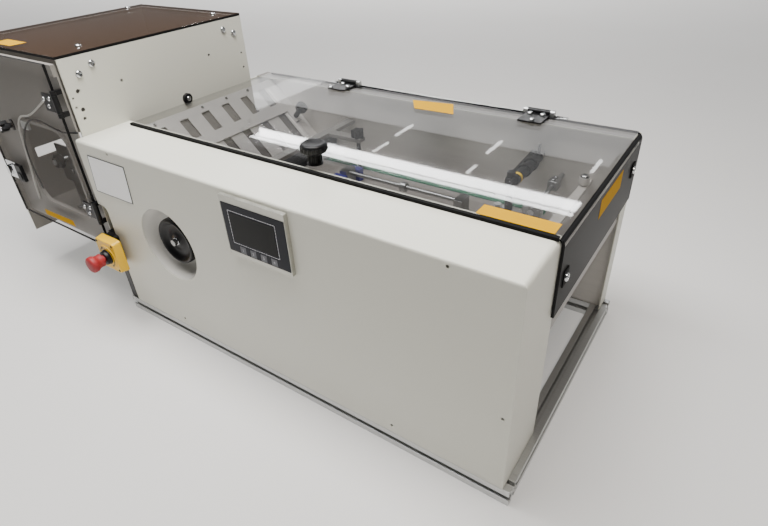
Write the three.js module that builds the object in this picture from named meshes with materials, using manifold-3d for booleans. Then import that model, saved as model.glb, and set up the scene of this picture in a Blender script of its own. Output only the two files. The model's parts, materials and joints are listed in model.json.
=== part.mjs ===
// Paper folding machine: a transport and buckle fold section under a transparent lid, with a taller
// delivery section at its left end.
// Lengths are millimetres. X runs along the machine: paper enters at x = 0 and travels towards -X.
// Y runs from the operator's side (y = 0) to the rear. Z runs up from the deck, the top of the covers.
// The finished group is moved so that its origin is at the middle of its footprint, on the ground.

import * as THREE from "three";
import { mergeVertices } from "three/addons/utils/BufferGeometryUtils.js";
import Module from "manifold-3d";

const wasm = await Module();
wasm.setup();

// General clearances and facet counts
const seat = 0.3;
const overrun = 5;
const weldDistance = 0.0001;
const roundSides = 24;
const bowlSides = 36;
const rollerSides = 16;
const smallSides = 12;
const bendSteps = 4;

// Front cover: one folded sheet with a side wall at the infeed end
const coverLength = 840;
const coverHeight = 346;
const coverStrip = 112;
const coverSideGap = 1;
const coverSheet = 2;
const coverBend = 5;
const coverEndBend = 8;
const notchWidth = 26;
const notchBelowDeck = 128;
const notchCorner = 12;
const coverHoleRadius = 2.5;
const coverHoleEdge = 9;
const coverHoleEnds = 93;
const coverLowHoleEdge = 15;
const coverLowHoleInset = 180;
const coverSideHoleInset = 11;
const coverSideHoleDrop = 210;

// Overall depth and the rear cover
const machineDepth = 490;
const rearStrip = 40;
const ventLength = 60;
const ventHeight = 5;
const ventPitch = 14;
const ventRows = 6;
const ventColumns = 3;
const ventColumnPitch = 220;
const ventTop = 200;

// Base frame of slotted aluminium profile
const railSize = 30;
const railMouth = 8;
const railLip = 2.2;
const railWide = 16;
const railThroat = 4.5;
const railDeep = 9.5;
const railCore = 6;
const railInset = 2;
const railReach = 10;

// Side frames that carry every shaft
const frameSheet = 8;
const frameUnderCover = 14;
const rearFrameInset = 28;
const frameWindowCorner = 20;
const frameWindowSize = 110;
const frameWindowPitch = 132;
const frameWindowInset = 60;
const frameWindowBottom = 36;
const frameWindows = 4;
const bossRadius = 12;
const bossHeight = 4;

// Hand wheel and its recess, centred on the lower feed roller
const wheelFromEnd = 199;
const wheelZ = -158;
const recessRadius = 70.5;
const bowlWall = 2;
const bowlLip = 9;
const bowlFloorRadius = 48;
const bowlDepth = 38;
const bowlSteps = 4;
const wheelRadius = 44;
const wheelFront = 12;
const wheelThickness = 22;
const wheelHubRadius = 14;
const wheelHubReach = 4;
const wheelWebRadius = 31;
const wheelWebSet = 4;
const wheelRimRound = 4;
const wheelGrips = 12;
const wheelGripRadius = 5;
const wheelGripDepth = 2;

// Fold rollers: equal rollers, each tangent to the next but for the nip
const rollerPitch = 40;
const nipGap = 0.3;
const shaftRadius = 6;
const rollerEndGap = 4;
const shaftTail = 3;

// Gears on the front ends of the rollers and on the motor
const toothModule = 2;
const rollerTeeth = rollerPitch / toothModule;
const pressureDegrees = 20;
const toothBacklash = 0.16;
const addendumShare = 0.95;
const dedendumShare = 1.25;
const gearSetForward = 22;
const gearWidth = 12;
const gearHubRadius = 10;
const gearHubHeight = 4;
const shaftNose = 3;
const motorTeeth = 30;
const motorShaftRadius = 5;
const motorShaftDepth = 24;

// Drive motor on the inner side of the front frame
const motorRadius = 27;
const motorLength = 84;
const motorFlangeRadius = 28;
const motorFlange = 6;
const motorNoseRadius = 12;
const motorBoxSize = 34;
const motorBoxHeight = 14;

// Bed, transport belt and its pulleys
const bedDrop = 138;
const bedSheet = 2;
const bedLip = 16;
const bedFromWheel = 23;
const bedRight = 3;
const beltFromRearFrame = 61;
const beltWidth = 22;
const beltThickness = 2;
const beltLift = 0.5;
const pulleyRadius = 14;
const pulleyFlange = 1.2;
const pulleyFlangeWidth = 1.5;
const pulleySlotGap = 2;
const drivePulleyFromWheel = 51;
const idlerPulleyX = -130;

// Register rail, side guide, infeed arm and sensor arm over the bed
const registerFromWheel = 66;
const registerRight = -150;
const registerFromBelt = 21;
const registerThickness = 5;
const registerHeight = 18;
const registerFoot = 14;
const registerFootThickness = 3;
const guideRodFromWheel = 157;
const guideRodRight = -236;
const guideRodFromBelt = 83;
const guideRodLift = 26;
const guideRodRadius = 4;
const guidePostSize = 16;
const guidePostWidth = 30;
const guideCollarRadius = 9;
const guideCollarLength = 12;
const armX = -64;
const armWidth = 12;
const armFrontWidth = 24;
const armLift = 43;
const armThickness = 6;
const armKnobFromRearFrame = 30;
const armKnobRadius = 9;
const armKnobHeight = 22;
const armStemRadius = 4;
const sensorX = -158;
const sensorLift = 72;
const sensorReach = 132;
const sensorThickness = 10;
const sensorRootWidth = 24;
const sensorTipWidth = 14;
const sensorRadius = 7;
const sensorLength = 60;
const sensorTipInset = 9;

// Cross bar with its hold-down arm and knob
const crossBarFromWheel = 61;
const crossBarWidth = 20;
const crossBarLift = 64;
const crossBarThickness = 8;
const holdArmFromBelt = 29;
const holdArmWidth = 20;
const holdArmReach = 88;
const holdStemRadius = 4;
const holdFootRadius = 8;
const holdFootHeight = 5;
const holdFootLift = 2;
const gapKnobRadius = 14;
const gapKnobHeight = 16;
const gapKnobLobes = 5;
const gapKnobLobeRadius = 5;

// Upper fold plate: a slotted top sheet over a base sheet, sloping up towards the delivery end
const foldSlopeDegrees = 43;
const foldTopFromEnd = 37;
const foldTopZ = -5;
const foldLength = 186;
const foldSheet = 2;
const foldChannel = 3;
const foldRailWidth = 7;
const foldNoseLift = 16;
const windowCount = 6;
const windowWidth = 21;
const windowFromFrame = 32;
const windowScaleGap = 7;
const windowStart = 17;
const windowLength = 153;
const scaleWidth = 12;
const scaleThickness = 1;
const scaleFromRearFrame = 34;
const scaleStart = 20;
const scaleLength = 142;

// Fold stop: a cross bar on the top sheet whose fingers reach through the windows, with its knob on a tab
const stopStart = 64;
const stopWidth = 25;
const stopThickness = 3;
const stopSideGap = 8;
const stopRearGap = 13;
const stopFingerWidth = 13;
const stopFingerThickness = 3;
const stopFingerInset = 1;
const stopTabLength = 30;
const stopTabWidth = 20;
const stopKnobRadius = 13;
const stopKnobHeight = 37;
const stopKnobNeckRadius = 6;
const stopKnobNeck = 26;
const stopKnobScrewRadius = 3;
const stopKnobFromTabEnd = 12;

// Lower fold plate, under the rollers
const lowerSlopeDegrees = 45;
const lowerSetBack = 8;
const lowerLength = 142;

// Operator panel with four keys
const panelFromEnd = 442;
const panelTop = 7.5;
const panelWidth = 128;
const panelHeight = 102;
const panelBezel = 7;
const panelBodyInset = 5;
const panelBodyDepth = 36;
const panelCornerRadius = 3;
const panelCutGap = 1;
const screenWidth = 95;
const screenHeight = 52;
const screenTopInset = 24;
const screenRecess = 0.8;
const keySize = 12;
const keyPitch = 21.2;
const keyCount = 4;
const keyRise = 15;
const keyProud = 0.8;
const keyDepth = 2.5;
const keyTravel = 1;

// Emergency stop on its post
const stopBoxWidth = 63;
const stopBoxHeight = 65;
const stopBoxDepth = 32;
const stopBoxCorner = 6;
const stopBoxBack = 1;
const stopBoxTop = 186;
const postSize = 22;
const postLeftGap = 2;
const collarRadius = 14;
const collarHeight = 8;
const buttonRadius = 20;
const buttonHeight = 18;
const buttonNeckRadius = 12;
const buttonNeck = 10;
const buttonStemRadius = 7;
const buttonStem = 22;
const buttonTravel = 4;

// Lid: one transparent sheet, bent down at the infeed end
const lidFromEnd = 25;
const lidRight = 4.8;
const lidRearInset = 17;
const lidSheet = 4;
const lidBend = 12;
const flapDrop = 114;
const flapInset = 3;

// Lid knob
const lidKnobFromEnd = 454;
const lidKnobInset = 25;
const lidKnobRadius = 20;
const lidKnobHeight = 34;
const lidKnobNeckRadius = 10;
const lidKnobFlutes = 10;
const lidKnobFluteRadius = 1.6;
const lidKnobDish = 3;
const lidKnobHeadHeight = 15;

// Hinges of the lid and of the door
const pinRadius = 2.5;
const knuckleRadius = 5;
const leafSheet = 2.5;
const lidHingeFromEnd = 250;
const lidHingeRight = -171;
const lidHingeWidth = 42;
const lidLeafReach = 43;
const lidKnuckleLength = 40;
const earLength = 8;
const lidHingeBack = 7;
const lidHingeLift = 9;
const hingeBarDepth = 13;
const hingeBarSheet = 3;
const hingeBarEnd = 50;

// Delivery section: walls, front frame, top guard and door
const tallLength = 347;
const tallHeight = 134;
const tallSheet = 3;
const tallRearInset = 60;
const tallWallFront = 16;
const tallWallBelowFront = 6;
const tallWallRearInset = 12;
const tallWallBottom = 300;
const tallFloor = 235;
const leftWallBottom = 288;
const guardSheet = 5;
const guardFront = 14;
const frontFrameSet = 10;
const openingCorner = 34;
const openingAboveFloor = 52;
const openingTopShare = 0.637;
const openingRightInset = 48;
const openingLip = 6;
const openingLipFront = 5.6;
const topBarHeight = 20;
const topBarDepth = 8;
const topBarBelowGuard = 6;
const doorSheet = 5;
const doorFront = 3;
const doorLeftInset = 4;
const doorRightInset = 12;
const doorTopGap = 4;
const doorBottom = 232;
const doorAxisInset = 6;
const doorAxisFront = 4.5;
const doorLeafReach = 41;
const doorLeafHeight = 32;
const doorKnuckleLength = 30;
const doorHingeBelowTop = 70;
const doorHingeAboveFloor = 87;
const wallHoleSides = 10;
const wallHoleRadius = 4;
const passageHeight = 30;
const exitSlotHeight = 22;

// Door knob and latch
const doorKnobFromCover = 242;
const doorKnobZ = -14;
const doorKnobRadius = 13;
const doorKnobHeight = 16;
const doorKnobArms = 3;
const doorKnobStem = 5;
const doorCamLength = 22;
const doorCamWidth = 8;
const doorCamThickness = 3;
const latchInset = 16;
const latchWidth = 42;
const latchHeight = 40;
const latchThickness = 3;
const latchZ = -122;
const latchLever = 8;

// Delivery rollers and their frame
const deliveryFromCover = 205;
const deliveryZ = -118;
const deliveryPitch = 32;
const deliveryTeeth = deliveryPitch / toothModule;
const deliveryCheekFront = 66;
const deliveryCheekInset = 30;
const deliveryCheek = 4;
const deliveryFrameWidth = 80;
const deliveryFrameTop = 26;
const deliveryCheekDrop = 84;
const deliveryLegWidth = 30;
const deliveryGearWidth = 10;
const deliveryGearGap = 2;
const deliveryKnobRadius = 16;
const deliveryKnobLength = 16;
const deliveryShaftFront = 36;

// Exit guide from the fold rollers to the delivery rollers
const exitGuideSheet = 2;
const exitGuideStart = 26;
const exitGuideEnd = 22;
const exitGuideSide = 11;
const exitGuideRear = 4;
const exitGuideDrop = 3;

// Cables of the door switch
const whiteCableRadius = 2;
const whiteCableGap = 0.7;
const blackCableRadius = 2.2;
const blackCableGap = 0.8;
const blackCableSag = 6;
const cableSides = 8;
const whiteCableSteps = 26;
const blackCableSteps = 26;

// Values that follow from the sizes above
const wallX = -coverLength - seat;
const frontFrameY = coverStrip - frameUnderCover;
const rearFrameY = machineDepth - rearFrameInset;
const coverSide = frontFrameY - coverSideGap;
const gearFront = frontFrameY - gearSetForward;
const wheelX = wheelFromEnd - coverLength;
const railTop = -coverHeight - seat;
const frameRight = -coverSheet - seat;
const frameTop = -coverSheet - seat;
const innerFront = frontFrameY + frameSheet + seat;
const innerRear = rearFrameY - seat;
const rollerRadius = rollerPitch / 2 - nipGap / 2;
const shaftHole = shaftRadius + seat;
const bedTop = -bedDrop;
const bedLeft = -wheelX - bedFromWheel;
const beltY = rearFrameY - beltFromRearFrame;
const drivePulleyX = wheelX + drivePulleyFromWheel;
const registerX = [wheelX + registerFromWheel, registerRight];
const registerY = beltY + registerFromBelt;
const guideRodX = [wheelX + guideRodFromWheel, guideRodRight];
const guideRodY = beltY - guideRodFromBelt;
const armKnobY = rearFrameY - armKnobFromRearFrame;
const crossBarX = wheelX + crossBarFromWheel;
const holdArmY = beltY - holdArmFromBelt;
const foldTopX = foldTopFromEnd - coverLength;
const scaleY = rearFrameY - scaleFromRearFrame;
const windowFirstY = frontFrameY + windowFromFrame;
const windowPitch = (scaleY - windowScaleGap - windowWidth - windowFirstY) / (windowCount - 1);
const gearNose = gearFront - shaftNose;
const rollers = [
  { name: "fold_roller_1", x: wheelX, z: wheelZ + rollerPitch, turned: 0, nose: gearNose },
  { name: "fold_roller_2", x: wheelX, z: wheelZ, turned: 1, nose: wheelFront - shaftNose },
  { name: "fold_roller_3", x: wheelX - rollerPitch, z: wheelZ, turned: 0, nose: gearNose },
  { name: "fold_roller_4", x: wheelX - rollerPitch, z: wheelZ - rollerPitch, turned: 1, nose: gearNose },
];
const motorX = wheelX - rollerPitch;
const motorZ = wheelZ - rollerPitch - toothModule * (rollerTeeth + motorTeeth) / 2;
const beltInner = pulleyRadius + seat;
const beltOuter = beltInner + beltThickness;
const pulleyZ = bedTop + beltLift - beltInner;
const foldSlope = THREE.MathUtils.degToRad(foldSlopeDegrees);
const lowerSlope = THREE.MathUtils.degToRad(lowerSlopeDegrees);
const tallLeft = wallX - tallSheet / 2 - tallLength;
const tallRight = wallX - tallSheet - seat;
const tallDepth = machineDepth - tallRearInset;
const deliveryX = -coverLength - deliveryFromCover;
const deliveryCheekY = [deliveryCheekFront, tallDepth - deliveryCheekInset];
const doorKnobX = -coverLength - doorKnobFromCover;
const lidLeft = coverLength - lidFromEnd;
const lidFront = frontFrameY;
const lidRear = machineDepth - lidRearInset;
const flapFront = lidFront + flapInset;
const lidKnobX = lidKnobFromEnd - coverLength;
const lidKnobY = lidFront + lidKnobInset;
const lidHingeX = [lidHingeFromEnd - coverLength, lidHingeRight];
const lidHingeY = lidRear + lidHingeBack;
const doorAxisX = wallX - doorAxisInset;
const doorHingeZ = [tallHeight - doorHingeBelowTop, doorHingeAboveFloor - tallFloor];
const panelCentreX = panelFromEnd - coverLength;
const panelX = [panelCentreX - panelWidth / 2, panelCentreX + panelWidth / 2];
const panelZ = [-panelTop - panelHeight, -panelTop];

// Materials
function finish(color, roughness, metalness, opacity = 1) {
  return new THREE.MeshStandardMaterial({ color, roughness, metalness, opacity, transparent: opacity < 1 });
}
const paint = finish(0xd3d1ca, 0.45, 0.1);
const greyPaint = finish(0x8a8a88, 0.5, 0.2);
const aluminium = finish(0xb9bcc0, 0.35, 0.9);
const steel = finish(0xa5a8ac, 0.3, 0.95);
const bedSteel = finish(0x6f7073, 0.45, 0.7);
const blackPlastic = finish(0x151516, 0.4, 0);
const rubber = finish(0x2a2a2c, 0.8, 0);
const greenBelt = finish(0x3f7d63, 0.7, 0);
const blueBlock = finish(0x4b4a86, 0.5, 0);
const yellowPlastic = finish(0xf0bd1c, 0.4, 0);
const redPlastic = finish(0xc8372b, 0.35, 0);
const keyPlastic = finish(0x4a4b4d, 0.5, 0);
const smokedSheet = finish(0x6d6c6e, 0.08, 0, 0.35);
const bronzeSheet = finish(0x5b4a3a, 0.08, 0, 0.4);
const whitePlastic = finish(0xe4e3de, 0.6, 0);
const chrome = finish(0xd8d9db, 0.15, 1);

const machine = new THREE.Group();

// Joins equal corners, drops flat triangles and turns the faces outwards.
function weld(geometry) {
  const bare = geometry.clone();
  bare.deleteAttribute("normal");
  bare.deleteAttribute("uv");
  const merged = mergeVertices(bare, weldDistance);
  const corners = merged.index.array;
  const place = merged.attributes.position;
  const kept = [];
  let volume = 0;
  const [a, b, c] = [new THREE.Vector3(), new THREE.Vector3(), new THREE.Vector3()];
  for (let i = 0; i < corners.length; i += 3) {
    const [p, q, r] = [corners[i], corners[i + 1], corners[i + 2]];
    if (p === q || q === r || r === p) continue;
    kept.push(p, q, r);
    a.fromBufferAttribute(place, p);
    b.fromBufferAttribute(place, q);
    c.fromBufferAttribute(place, r);
    volume += a.dot(b.cross(c));
  }
  if (volume < 0) kept.reverse();
  merged.setIndex(kept);
  return merged;
}

function toSolid(geometry) {
  const welded = weld(geometry);
  return new wasm.Manifold(new wasm.Mesh({
    numProp: 3,
    vertProperties: new Float32Array(welded.attributes.position.array),
    triVerts: new Uint32Array(welded.index.array),
  }));
}

function toGeometry(solid) {
  const mesh = solid.getMesh();
  const geometry = new THREE.BufferGeometry();
  geometry.setAttribute("position", new THREE.BufferAttribute(mesh.vertProperties, 3));
  geometry.setIndex(new THREE.BufferAttribute(mesh.triVerts, 1));
  return geometry;
}

function join(first, ...rest) {
  return toGeometry(rest.reduce((sum, shape) => sum.add(toSolid(shape)), toSolid(first)));
}

function cut(body, ...tools) {
  return toGeometry(tools.reduce((left, tool) => left.subtract(toSolid(tool)), toSolid(body)));
}

function common(first, second) {
  return toGeometry(toSolid(first).intersect(toSolid(second)));
}

// Adds a named piece; the group sets where its own axes lie.
function add(name, geometry, material, group = machine) {
  const welded = weld(geometry).toNonIndexed();
  welded.computeVertexNormals();
  const mesh = new THREE.Mesh(welded, material);
  mesh.name = name;
  group.add(mesh);
  return mesh;
}

// A block between low and high values on each axis.
function block([x0, x1], [y0, y1], [z0, z1]) {
  const shape = new THREE.BoxGeometry(x1 - x0, y1 - y0, z1 - z0);
  return shape.translate((x0 + x1) / 2, (y0 + y1) / 2, (z0 + z1) / 2);
}

// Matrices that turn a shape's own x, y and depth to the machine's axes.
const alongX = new THREE.Matrix4().set(0, 0, 1, 0, 1, 0, 0, 0, 0, 1, 0, 0, 0, 0, 0, 1);
const alongY = new THREE.Matrix4().set(1, 0, 0, 0, 0, 0, -1, 0, 0, 1, 0, 0, 0, 0, 0, 1);
const alongZ = new THREE.Matrix4();

// A flat outline pushed along one axis: drawn in (y, z) for X, (x, z) for Y and (x, y) for Z.
function prism(axis, outline, [from, to]) {
  const shape = new THREE.ExtrudeGeometry(outline, {
    depth: to - from, bevelEnabled: false, curveSegments: bendSteps,
  });
  if (axis === alongY) return shape.translate(0, 0, -to).applyMatrix4(axis);
  return shape.translate(0, 0, from).applyMatrix4(axis);
}

// A straight cylinder along one axis, placed by its other two coordinates.
function rod(axis, radius, [from, to], [u, v], sides = smallSides) {
  const shape = new THREE.CylinderGeometry(radius, radius, to - from, sides);
  shape.translate(0, (from + to) / 2, 0);
  if (axis === alongY) return shape.translate(u, 0, v);
  if (axis === alongZ) return shape.rotateX(Math.PI / 2).translate(u, v, 0);
  return shape.rotateZ(-Math.PI / 2).translate(0, u, v);
}

// A turned piece: profile points are (radius, distance along the axis).
function turned(axis, profile, [u, v], sides = roundSides) {
  const points = profile.map(([radius, along]) => new THREE.Vector2(radius, along));
  const shape = new THREE.LatheGeometry(points, sides);
  if (axis === alongY) return shape.translate(u, 0, v);
  return shape.rotateX(Math.PI / 2).translate(u, v, 0);
}

// An outline through corner points, each rounded to the same radius.
function rounded(corners, radius) {
  const shape = new THREE.Shape();
  const count = corners.length;
  corners.forEach((corner, i) => {
    const here = new THREE.Vector2(...corner);
    const before = new THREE.Vector2(...corners[(i + count - 1) % count]).sub(here);
    const after = new THREE.Vector2(...corners[(i + 1) % count]).sub(here);
    const half = Math.acos(before.dot(after) / before.length() / after.length()) / 2;
    const reach = radius / Math.tan(half);
    const start = here.clone().addScaledVector(before.normalize(), reach);
    const end = here.clone().addScaledVector(after.normalize(), reach);
    const middle = before.clone().add(after).normalize();
    const centre = here.clone().addScaledVector(middle, radius / Math.sin(half));
    const from = Math.atan2(start.y - centre.y, start.x - centre.x);
    let sweep = Math.atan2(end.y - centre.y, end.x - centre.x) - from;
    if (sweep > Math.PI) sweep -= 2 * Math.PI;
    if (sweep < -Math.PI) sweep += 2 * Math.PI;
    for (let step = 0; step <= bendSteps; step += 1) {
      const angle = from + sweep * step / bendSteps;
      const x = centre.x + radius * Math.cos(angle);
      const y = centre.y + radius * Math.sin(angle);
      if (i === 0 && step === 0) shape.moveTo(x, y);
      else shape.lineTo(x, y);
    }
  });
  shape.closePath();
  return shape;
}

function rectangle([u0, u1], [v0, v1]) {
  return [[u0, v0], [u1, v0], [u1, v1], [u0, v1]];
}

function polygon(corners) {
  return new THREE.Shape(corners.map(([u, v]) => new THREE.Vector2(u, v)));
}

// Base frame
function railOutline() {
  const half = railSize / 2;
  const side = [
    [-half, -half], [-railMouth / 2, -half], [-railMouth / 2, -half + railLip],
    [-railWide / 2, -half + railLip], [-railWide / 2, -half + railThroat], [-railCore / 2, -half + railDeep],
    [railCore / 2, -half + railDeep], [railWide / 2, -half + railThroat], [railWide / 2, -half + railLip],
    [railMouth / 2, -half + railLip], [railMouth / 2, -half],
  ];
  const corners = [];
  for (let quarter = 0; quarter < 4; quarter += 1) {
    const [c, s] = [Math.cos(quarter * Math.PI / 2), Math.sin(quarter * Math.PI / 2)];
    side.forEach(([u, v]) => corners.push([u * c - v * s, u * s + v * c]));
  }
  return polygon(corners);
}

function buildBase() {
  const middle = railTop - railSize / 2;
  const ends = [-coverLength + railInset, railReach];
  const spread = [railSize + seat, machineDepth - railSize - seat];
  const long = () => prism(alongX, railOutline(), ends);
  const short = () => prism(alongY, railOutline(), spread);
  add("base_rail_front", long().translate(0, railSize / 2, middle), aluminium);
  add("base_rail_rear", long().translate(0, machineDepth - railSize / 2, middle), aluminium);
  add("base_rail_left", short().translate(ends[0] + railSize / 2, 0, middle), aluminium);
  add("base_rail_right", short().translate(ends[1] - railSize / 2, 0, middle), aluminium);
}

// Side frames
function sideFrame(y0, extraHoles) {
  const faces = [y0, y0 + frameSheet];
  const past = [y0 - overrun - bossHeight, y0 + frameSheet + overrun];
  const plate = prism(alongY, polygon([
    [-coverLength, -coverHeight], [frameRight, -coverHeight], [frameRight, -coverEndBend],
    [-coverEndBend, frameTop], [-coverLength, frameTop],
  ]), faces);
  const bosses = rollers.map(({ x, z }) => rod(alongY, bossRadius, [y0 - bossHeight, y0 + seat], [x, z]));
  const holes = rollers.map(({ x, z }) => rod(alongY, shaftHole, past, [x, z]));
  [drivePulleyX, idlerPulleyX].forEach((x) => holes.push(rod(alongY, shaftHole, past, [x, pulleyZ])));
  const bottom = -coverHeight + frameWindowBottom;
  for (let i = 0; i < frameWindows; i += 1) {
    const right = -frameWindowInset - i * frameWindowPitch;
    const window = rectangle([right - frameWindowSize, right], [bottom, bottom + frameWindowSize]);
    holes.push(prism(alongY, rounded(window, frameWindowCorner), past));
  }
  return cut(join(plate, ...bosses), ...holes, ...extraHoles.map((make) => make(past)));
}

function buildSideFrames() {
  const motorHole = (past) => rod(alongY, motorNoseRadius + seat, past, [motorX, motorZ], roundSides);
  add("side_frame_front", sideFrame(frontFrameY, [motorHole]), steel);
  add("side_frame_rear", sideFrame(rearFrameY, []), steel);
}

// Covers
function coverBlock(inset, depth, bottom) {
  const front = prism(alongX, endWall(bottom, depth, coverBend - inset), [-coverLength - inset, -inset]);
  const end = new THREE.Shape();
  end.moveTo(-coverLength - inset, -bottom);
  end.lineTo(-inset, -bottom);
  end.lineTo(-inset, -coverEndBend);
  end.absarc(-coverEndBend, -coverEndBend, coverEndBend - inset, 0, Math.PI / 2, false);
  end.lineTo(-coverLength - inset, -inset);
  end.closePath();
  const side = prism(alongY, end, [0, depth]);
  return common(front.translate(0, inset, -inset), side);
}

function coverShell(depth) {
  const inside = coverBlock(coverSheet, depth + overrun, coverHeight + overrun);
  return cut(coverBlock(0, depth, coverHeight), inside);
}

function endWall(height, depth, radius) {
  const shape = new THREE.Shape();
  shape.moveTo(0, -height);
  shape.lineTo(0, -radius);
  shape.absarc(radius, -radius, radius, Math.PI, Math.PI / 2, true);
  shape.lineTo(depth, 0);
  shape.lineTo(depth, -height);
  shape.closePath();
  return shape;
}

function buildFrontCover() {
  const through = [-overrun, coverSheet + overrun];
  const sheet = coverShell(coverStrip);
  const leftX = [-coverLength, -coverLength + coverSheet];
  const left = prism(alongX, endWall(notchBelowDeck, coverSide, coverBend), leftX);
  const notch = rounded([
    [-coverLength - 2 * notchCorner, -coverHeight - 2 * notchCorner],
    [-coverLength + notchWidth, -coverHeight - 2 * notchCorner],
    [-coverLength + notchWidth, -notchBelowDeck],
    [-coverLength - 2 * notchCorner, -notchBelowDeck],
  ], notchCorner);
  const cutOut = rectangle(
    [panelX[0] + panelBodyInset - panelCutGap, panelX[1] - panelBodyInset + panelCutGap],
    [panelZ[0] + panelBodyInset - panelCutGap, panelZ[1] - panelBodyInset + panelCutGap],
  );
  const holes = [
    [-coverHoleEnds, -coverHoleEdge], [-coverLength + coverHoleEnds, -coverHoleEdge],
    [-coverLowHoleInset, -coverHeight + coverLowHoleEdge],
    [-coverLength + coverLowHoleInset, -coverHeight + coverLowHoleEdge],
    [-coverSideHoleInset, -coverSideHoleDrop],
  ].map((place) => rod(alongY, coverHoleRadius, through, place));
  const body = cut(
    join(sheet, left),
    prism(alongY, notch, through),
    rod(alongY, recessRadius, through, [wheelX, wheelZ], bowlSides),
    prism(alongY, polygon(cutOut), through),
    ...holes,
  );
  add("front_cover", body, paint);
}

function buildRearCover() {
  const flip = new THREE.Matrix4().makeScale(1, -1, 1).setPosition(0, machineDepth, 0);
  const mirrored = (shape) => shape.applyMatrix4(flip);
  const sheet = mirrored(coverShell(rearStrip));
  const endDepth = machineDepth - rearFrameY - frameSheet - seat;
  const wall = (ends) => mirrored(prism(alongX, endWall(coverHeight, endDepth, coverBend), ends));
  const vents = [];
  for (let column = 0; column < ventColumns; column += 1) {
    for (let row = 0; row < ventRows; row += 1) {
      const x = -coverLength / 2 + (column - (ventColumns - 1) / 2) * ventColumnPitch;
      const z = -ventTop - row * ventPitch;
      vents.push(block(
        [x - ventLength / 2, x + ventLength / 2],
        [machineDepth - coverSheet - overrun, machineDepth + overrun],
        [z - ventHeight, z],
      ));
    }
  }
  const body = join(sheet, wall([-coverLength, -coverLength + coverSheet]));
  add("rear_cover", cut(body, ...vents), paint);
}

// Hand wheel recess and hand wheel
function buildHandwheel() {
  const back = coverSheet + seat;
  const inner = [];
  const outer = [];
  const rim = recessRadius - bowlWall / 2;
  for (let i = 0; i <= bowlSteps; i += 1) {
    const turn = i / bowlSteps * Math.PI / 2;
    const [c, s] = [Math.cos(turn), Math.sin(turn)];
    inner.push([bowlFloorRadius + (rim - bowlFloorRadius) * c, back + bowlDepth * s]);
    outer.push([bowlFloorRadius + (rim + bowlWall - bowlFloorRadius) * c, back + bowlWall + bowlDepth * s]);
  }
  const hole = shaftRadius + bowlWall;
  const profile = [
    ...inner, [hole, back + bowlDepth], [hole, back + bowlDepth + bowlWall], ...outer.reverse(),
    [recessRadius + bowlLip, back + bowlWall], [recessRadius + bowlLip, back], inner[0],
  ];
  add("handwheel_bowl", turned(alongY, profile, [wheelX, wheelZ], bowlSides), paint);

  const [front, rear] = [wheelFront, wheelFront + wheelThickness];
  const wheel = turned(alongY, [
    [shaftHole, front + wheelWebSet], [shaftHole, rear + wheelHubReach],
    [wheelHubRadius, rear + wheelHubReach], [wheelHubRadius, rear - wheelWebSet],
    [wheelWebRadius, rear - wheelWebSet], [wheelWebRadius + wheelRimRound, rear],
    [wheelRadius - wheelRimRound, rear], [wheelRadius, rear - wheelRimRound],
    [wheelRadius, front + wheelRimRound], [wheelRadius - wheelRimRound, front],
    [wheelWebRadius + wheelRimRound, front], [wheelWebRadius, front + wheelWebSet],
    [shaftHole, front + wheelWebSet],
  ], [wheelX, wheelZ], bowlSides);
  const grips = [];
  for (let i = 0; i < wheelGrips; i += 1) {
    const angle = i / wheelGrips * 2 * Math.PI;
    const reach = wheelRadius + wheelGripRadius - wheelGripDepth;
    const place = [wheelX + reach * Math.cos(angle), wheelZ + reach * Math.sin(angle)];
    grips.push(rod(alongY, wheelGripRadius, [front - overrun, rear + overrun], place, cableSides));
  }
  add("handwheel", cut(wheel, ...grips), blackPlastic);
}

// Gears with involute flanks
function involute(angle) {
  return Math.tan(angle) - angle;
}

function gearOutline(teeth, turnTeeth) {
  const pitch = toothModule * teeth / 2;
  const pressure = THREE.MathUtils.degToRad(pressureDegrees);
  const base = pitch * Math.cos(pressure);
  const [root, tip] = [pitch - dedendumShare * toothModule, pitch + addendumShare * toothModule];
  const halfTooth = (radius) => {
    const angle = Math.acos(Math.min(1, base / Math.max(radius, base)));
    return Math.PI / 2 / teeth + involute(pressure) - involute(angle) - toothBacklash / pitch;
  };
  const shape = new THREE.Shape();
  const flank = [root, pitch, tip];
  for (let i = 0; i < teeth; i += 1) {
    const middle = (i + turnTeeth) / teeth * 2 * Math.PI;
    const rising = flank.map((radius) => [radius, middle - halfTooth(radius)]);
    const falling = [...flank].reverse().map((radius) => [radius, middle + halfTooth(radius)]);
    [...rising, ...falling].forEach(([radius, angle], j) => {
      const [x, y] = [radius * Math.cos(angle), radius * Math.sin(angle)];
      if (i === 0 && j === 0) shape.moveTo(x, y);
      else shape.lineTo(x, y);
    });
  }
  shape.closePath();
  return shape;
}

function gear(teeth, turnTeeth, [from, to], [x, z]) {
  return prism(alongY, gearOutline(teeth, turnTeeth), [from, to]).translate(x, 0, z);
}

// Fold rollers, each with its shaft and gear
function buildFoldRollers() {
  const face = [innerFront - seat + rollerEndGap, innerRear + seat - rollerEndGap];
  rollers.forEach(({ name, x, z, turned: halfTurned, nose }) => {
    const profile = [
      [0, nose], [shaftRadius, nose], [shaftRadius, face[0]], [rollerRadius, face[0]],
      [rollerRadius, face[1]], [shaftRadius, face[1]], [shaftRadius, rearFrameY + frameSheet + shaftTail],
      [0, rearFrameY + frameSheet + shaftTail],
    ];
    const hub = rod(alongY, gearHubRadius, [gearFront, gearFront + gearWidth + gearHubHeight], [x, z]);
    const teeth = gear(rollerTeeth, halfTurned / 2, [gearFront, gearFront + gearWidth], [x, z]);
    add(name, join(turned(alongY, profile, [x, z], rollerSides), teeth, hub), rubber);
  });
}

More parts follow.
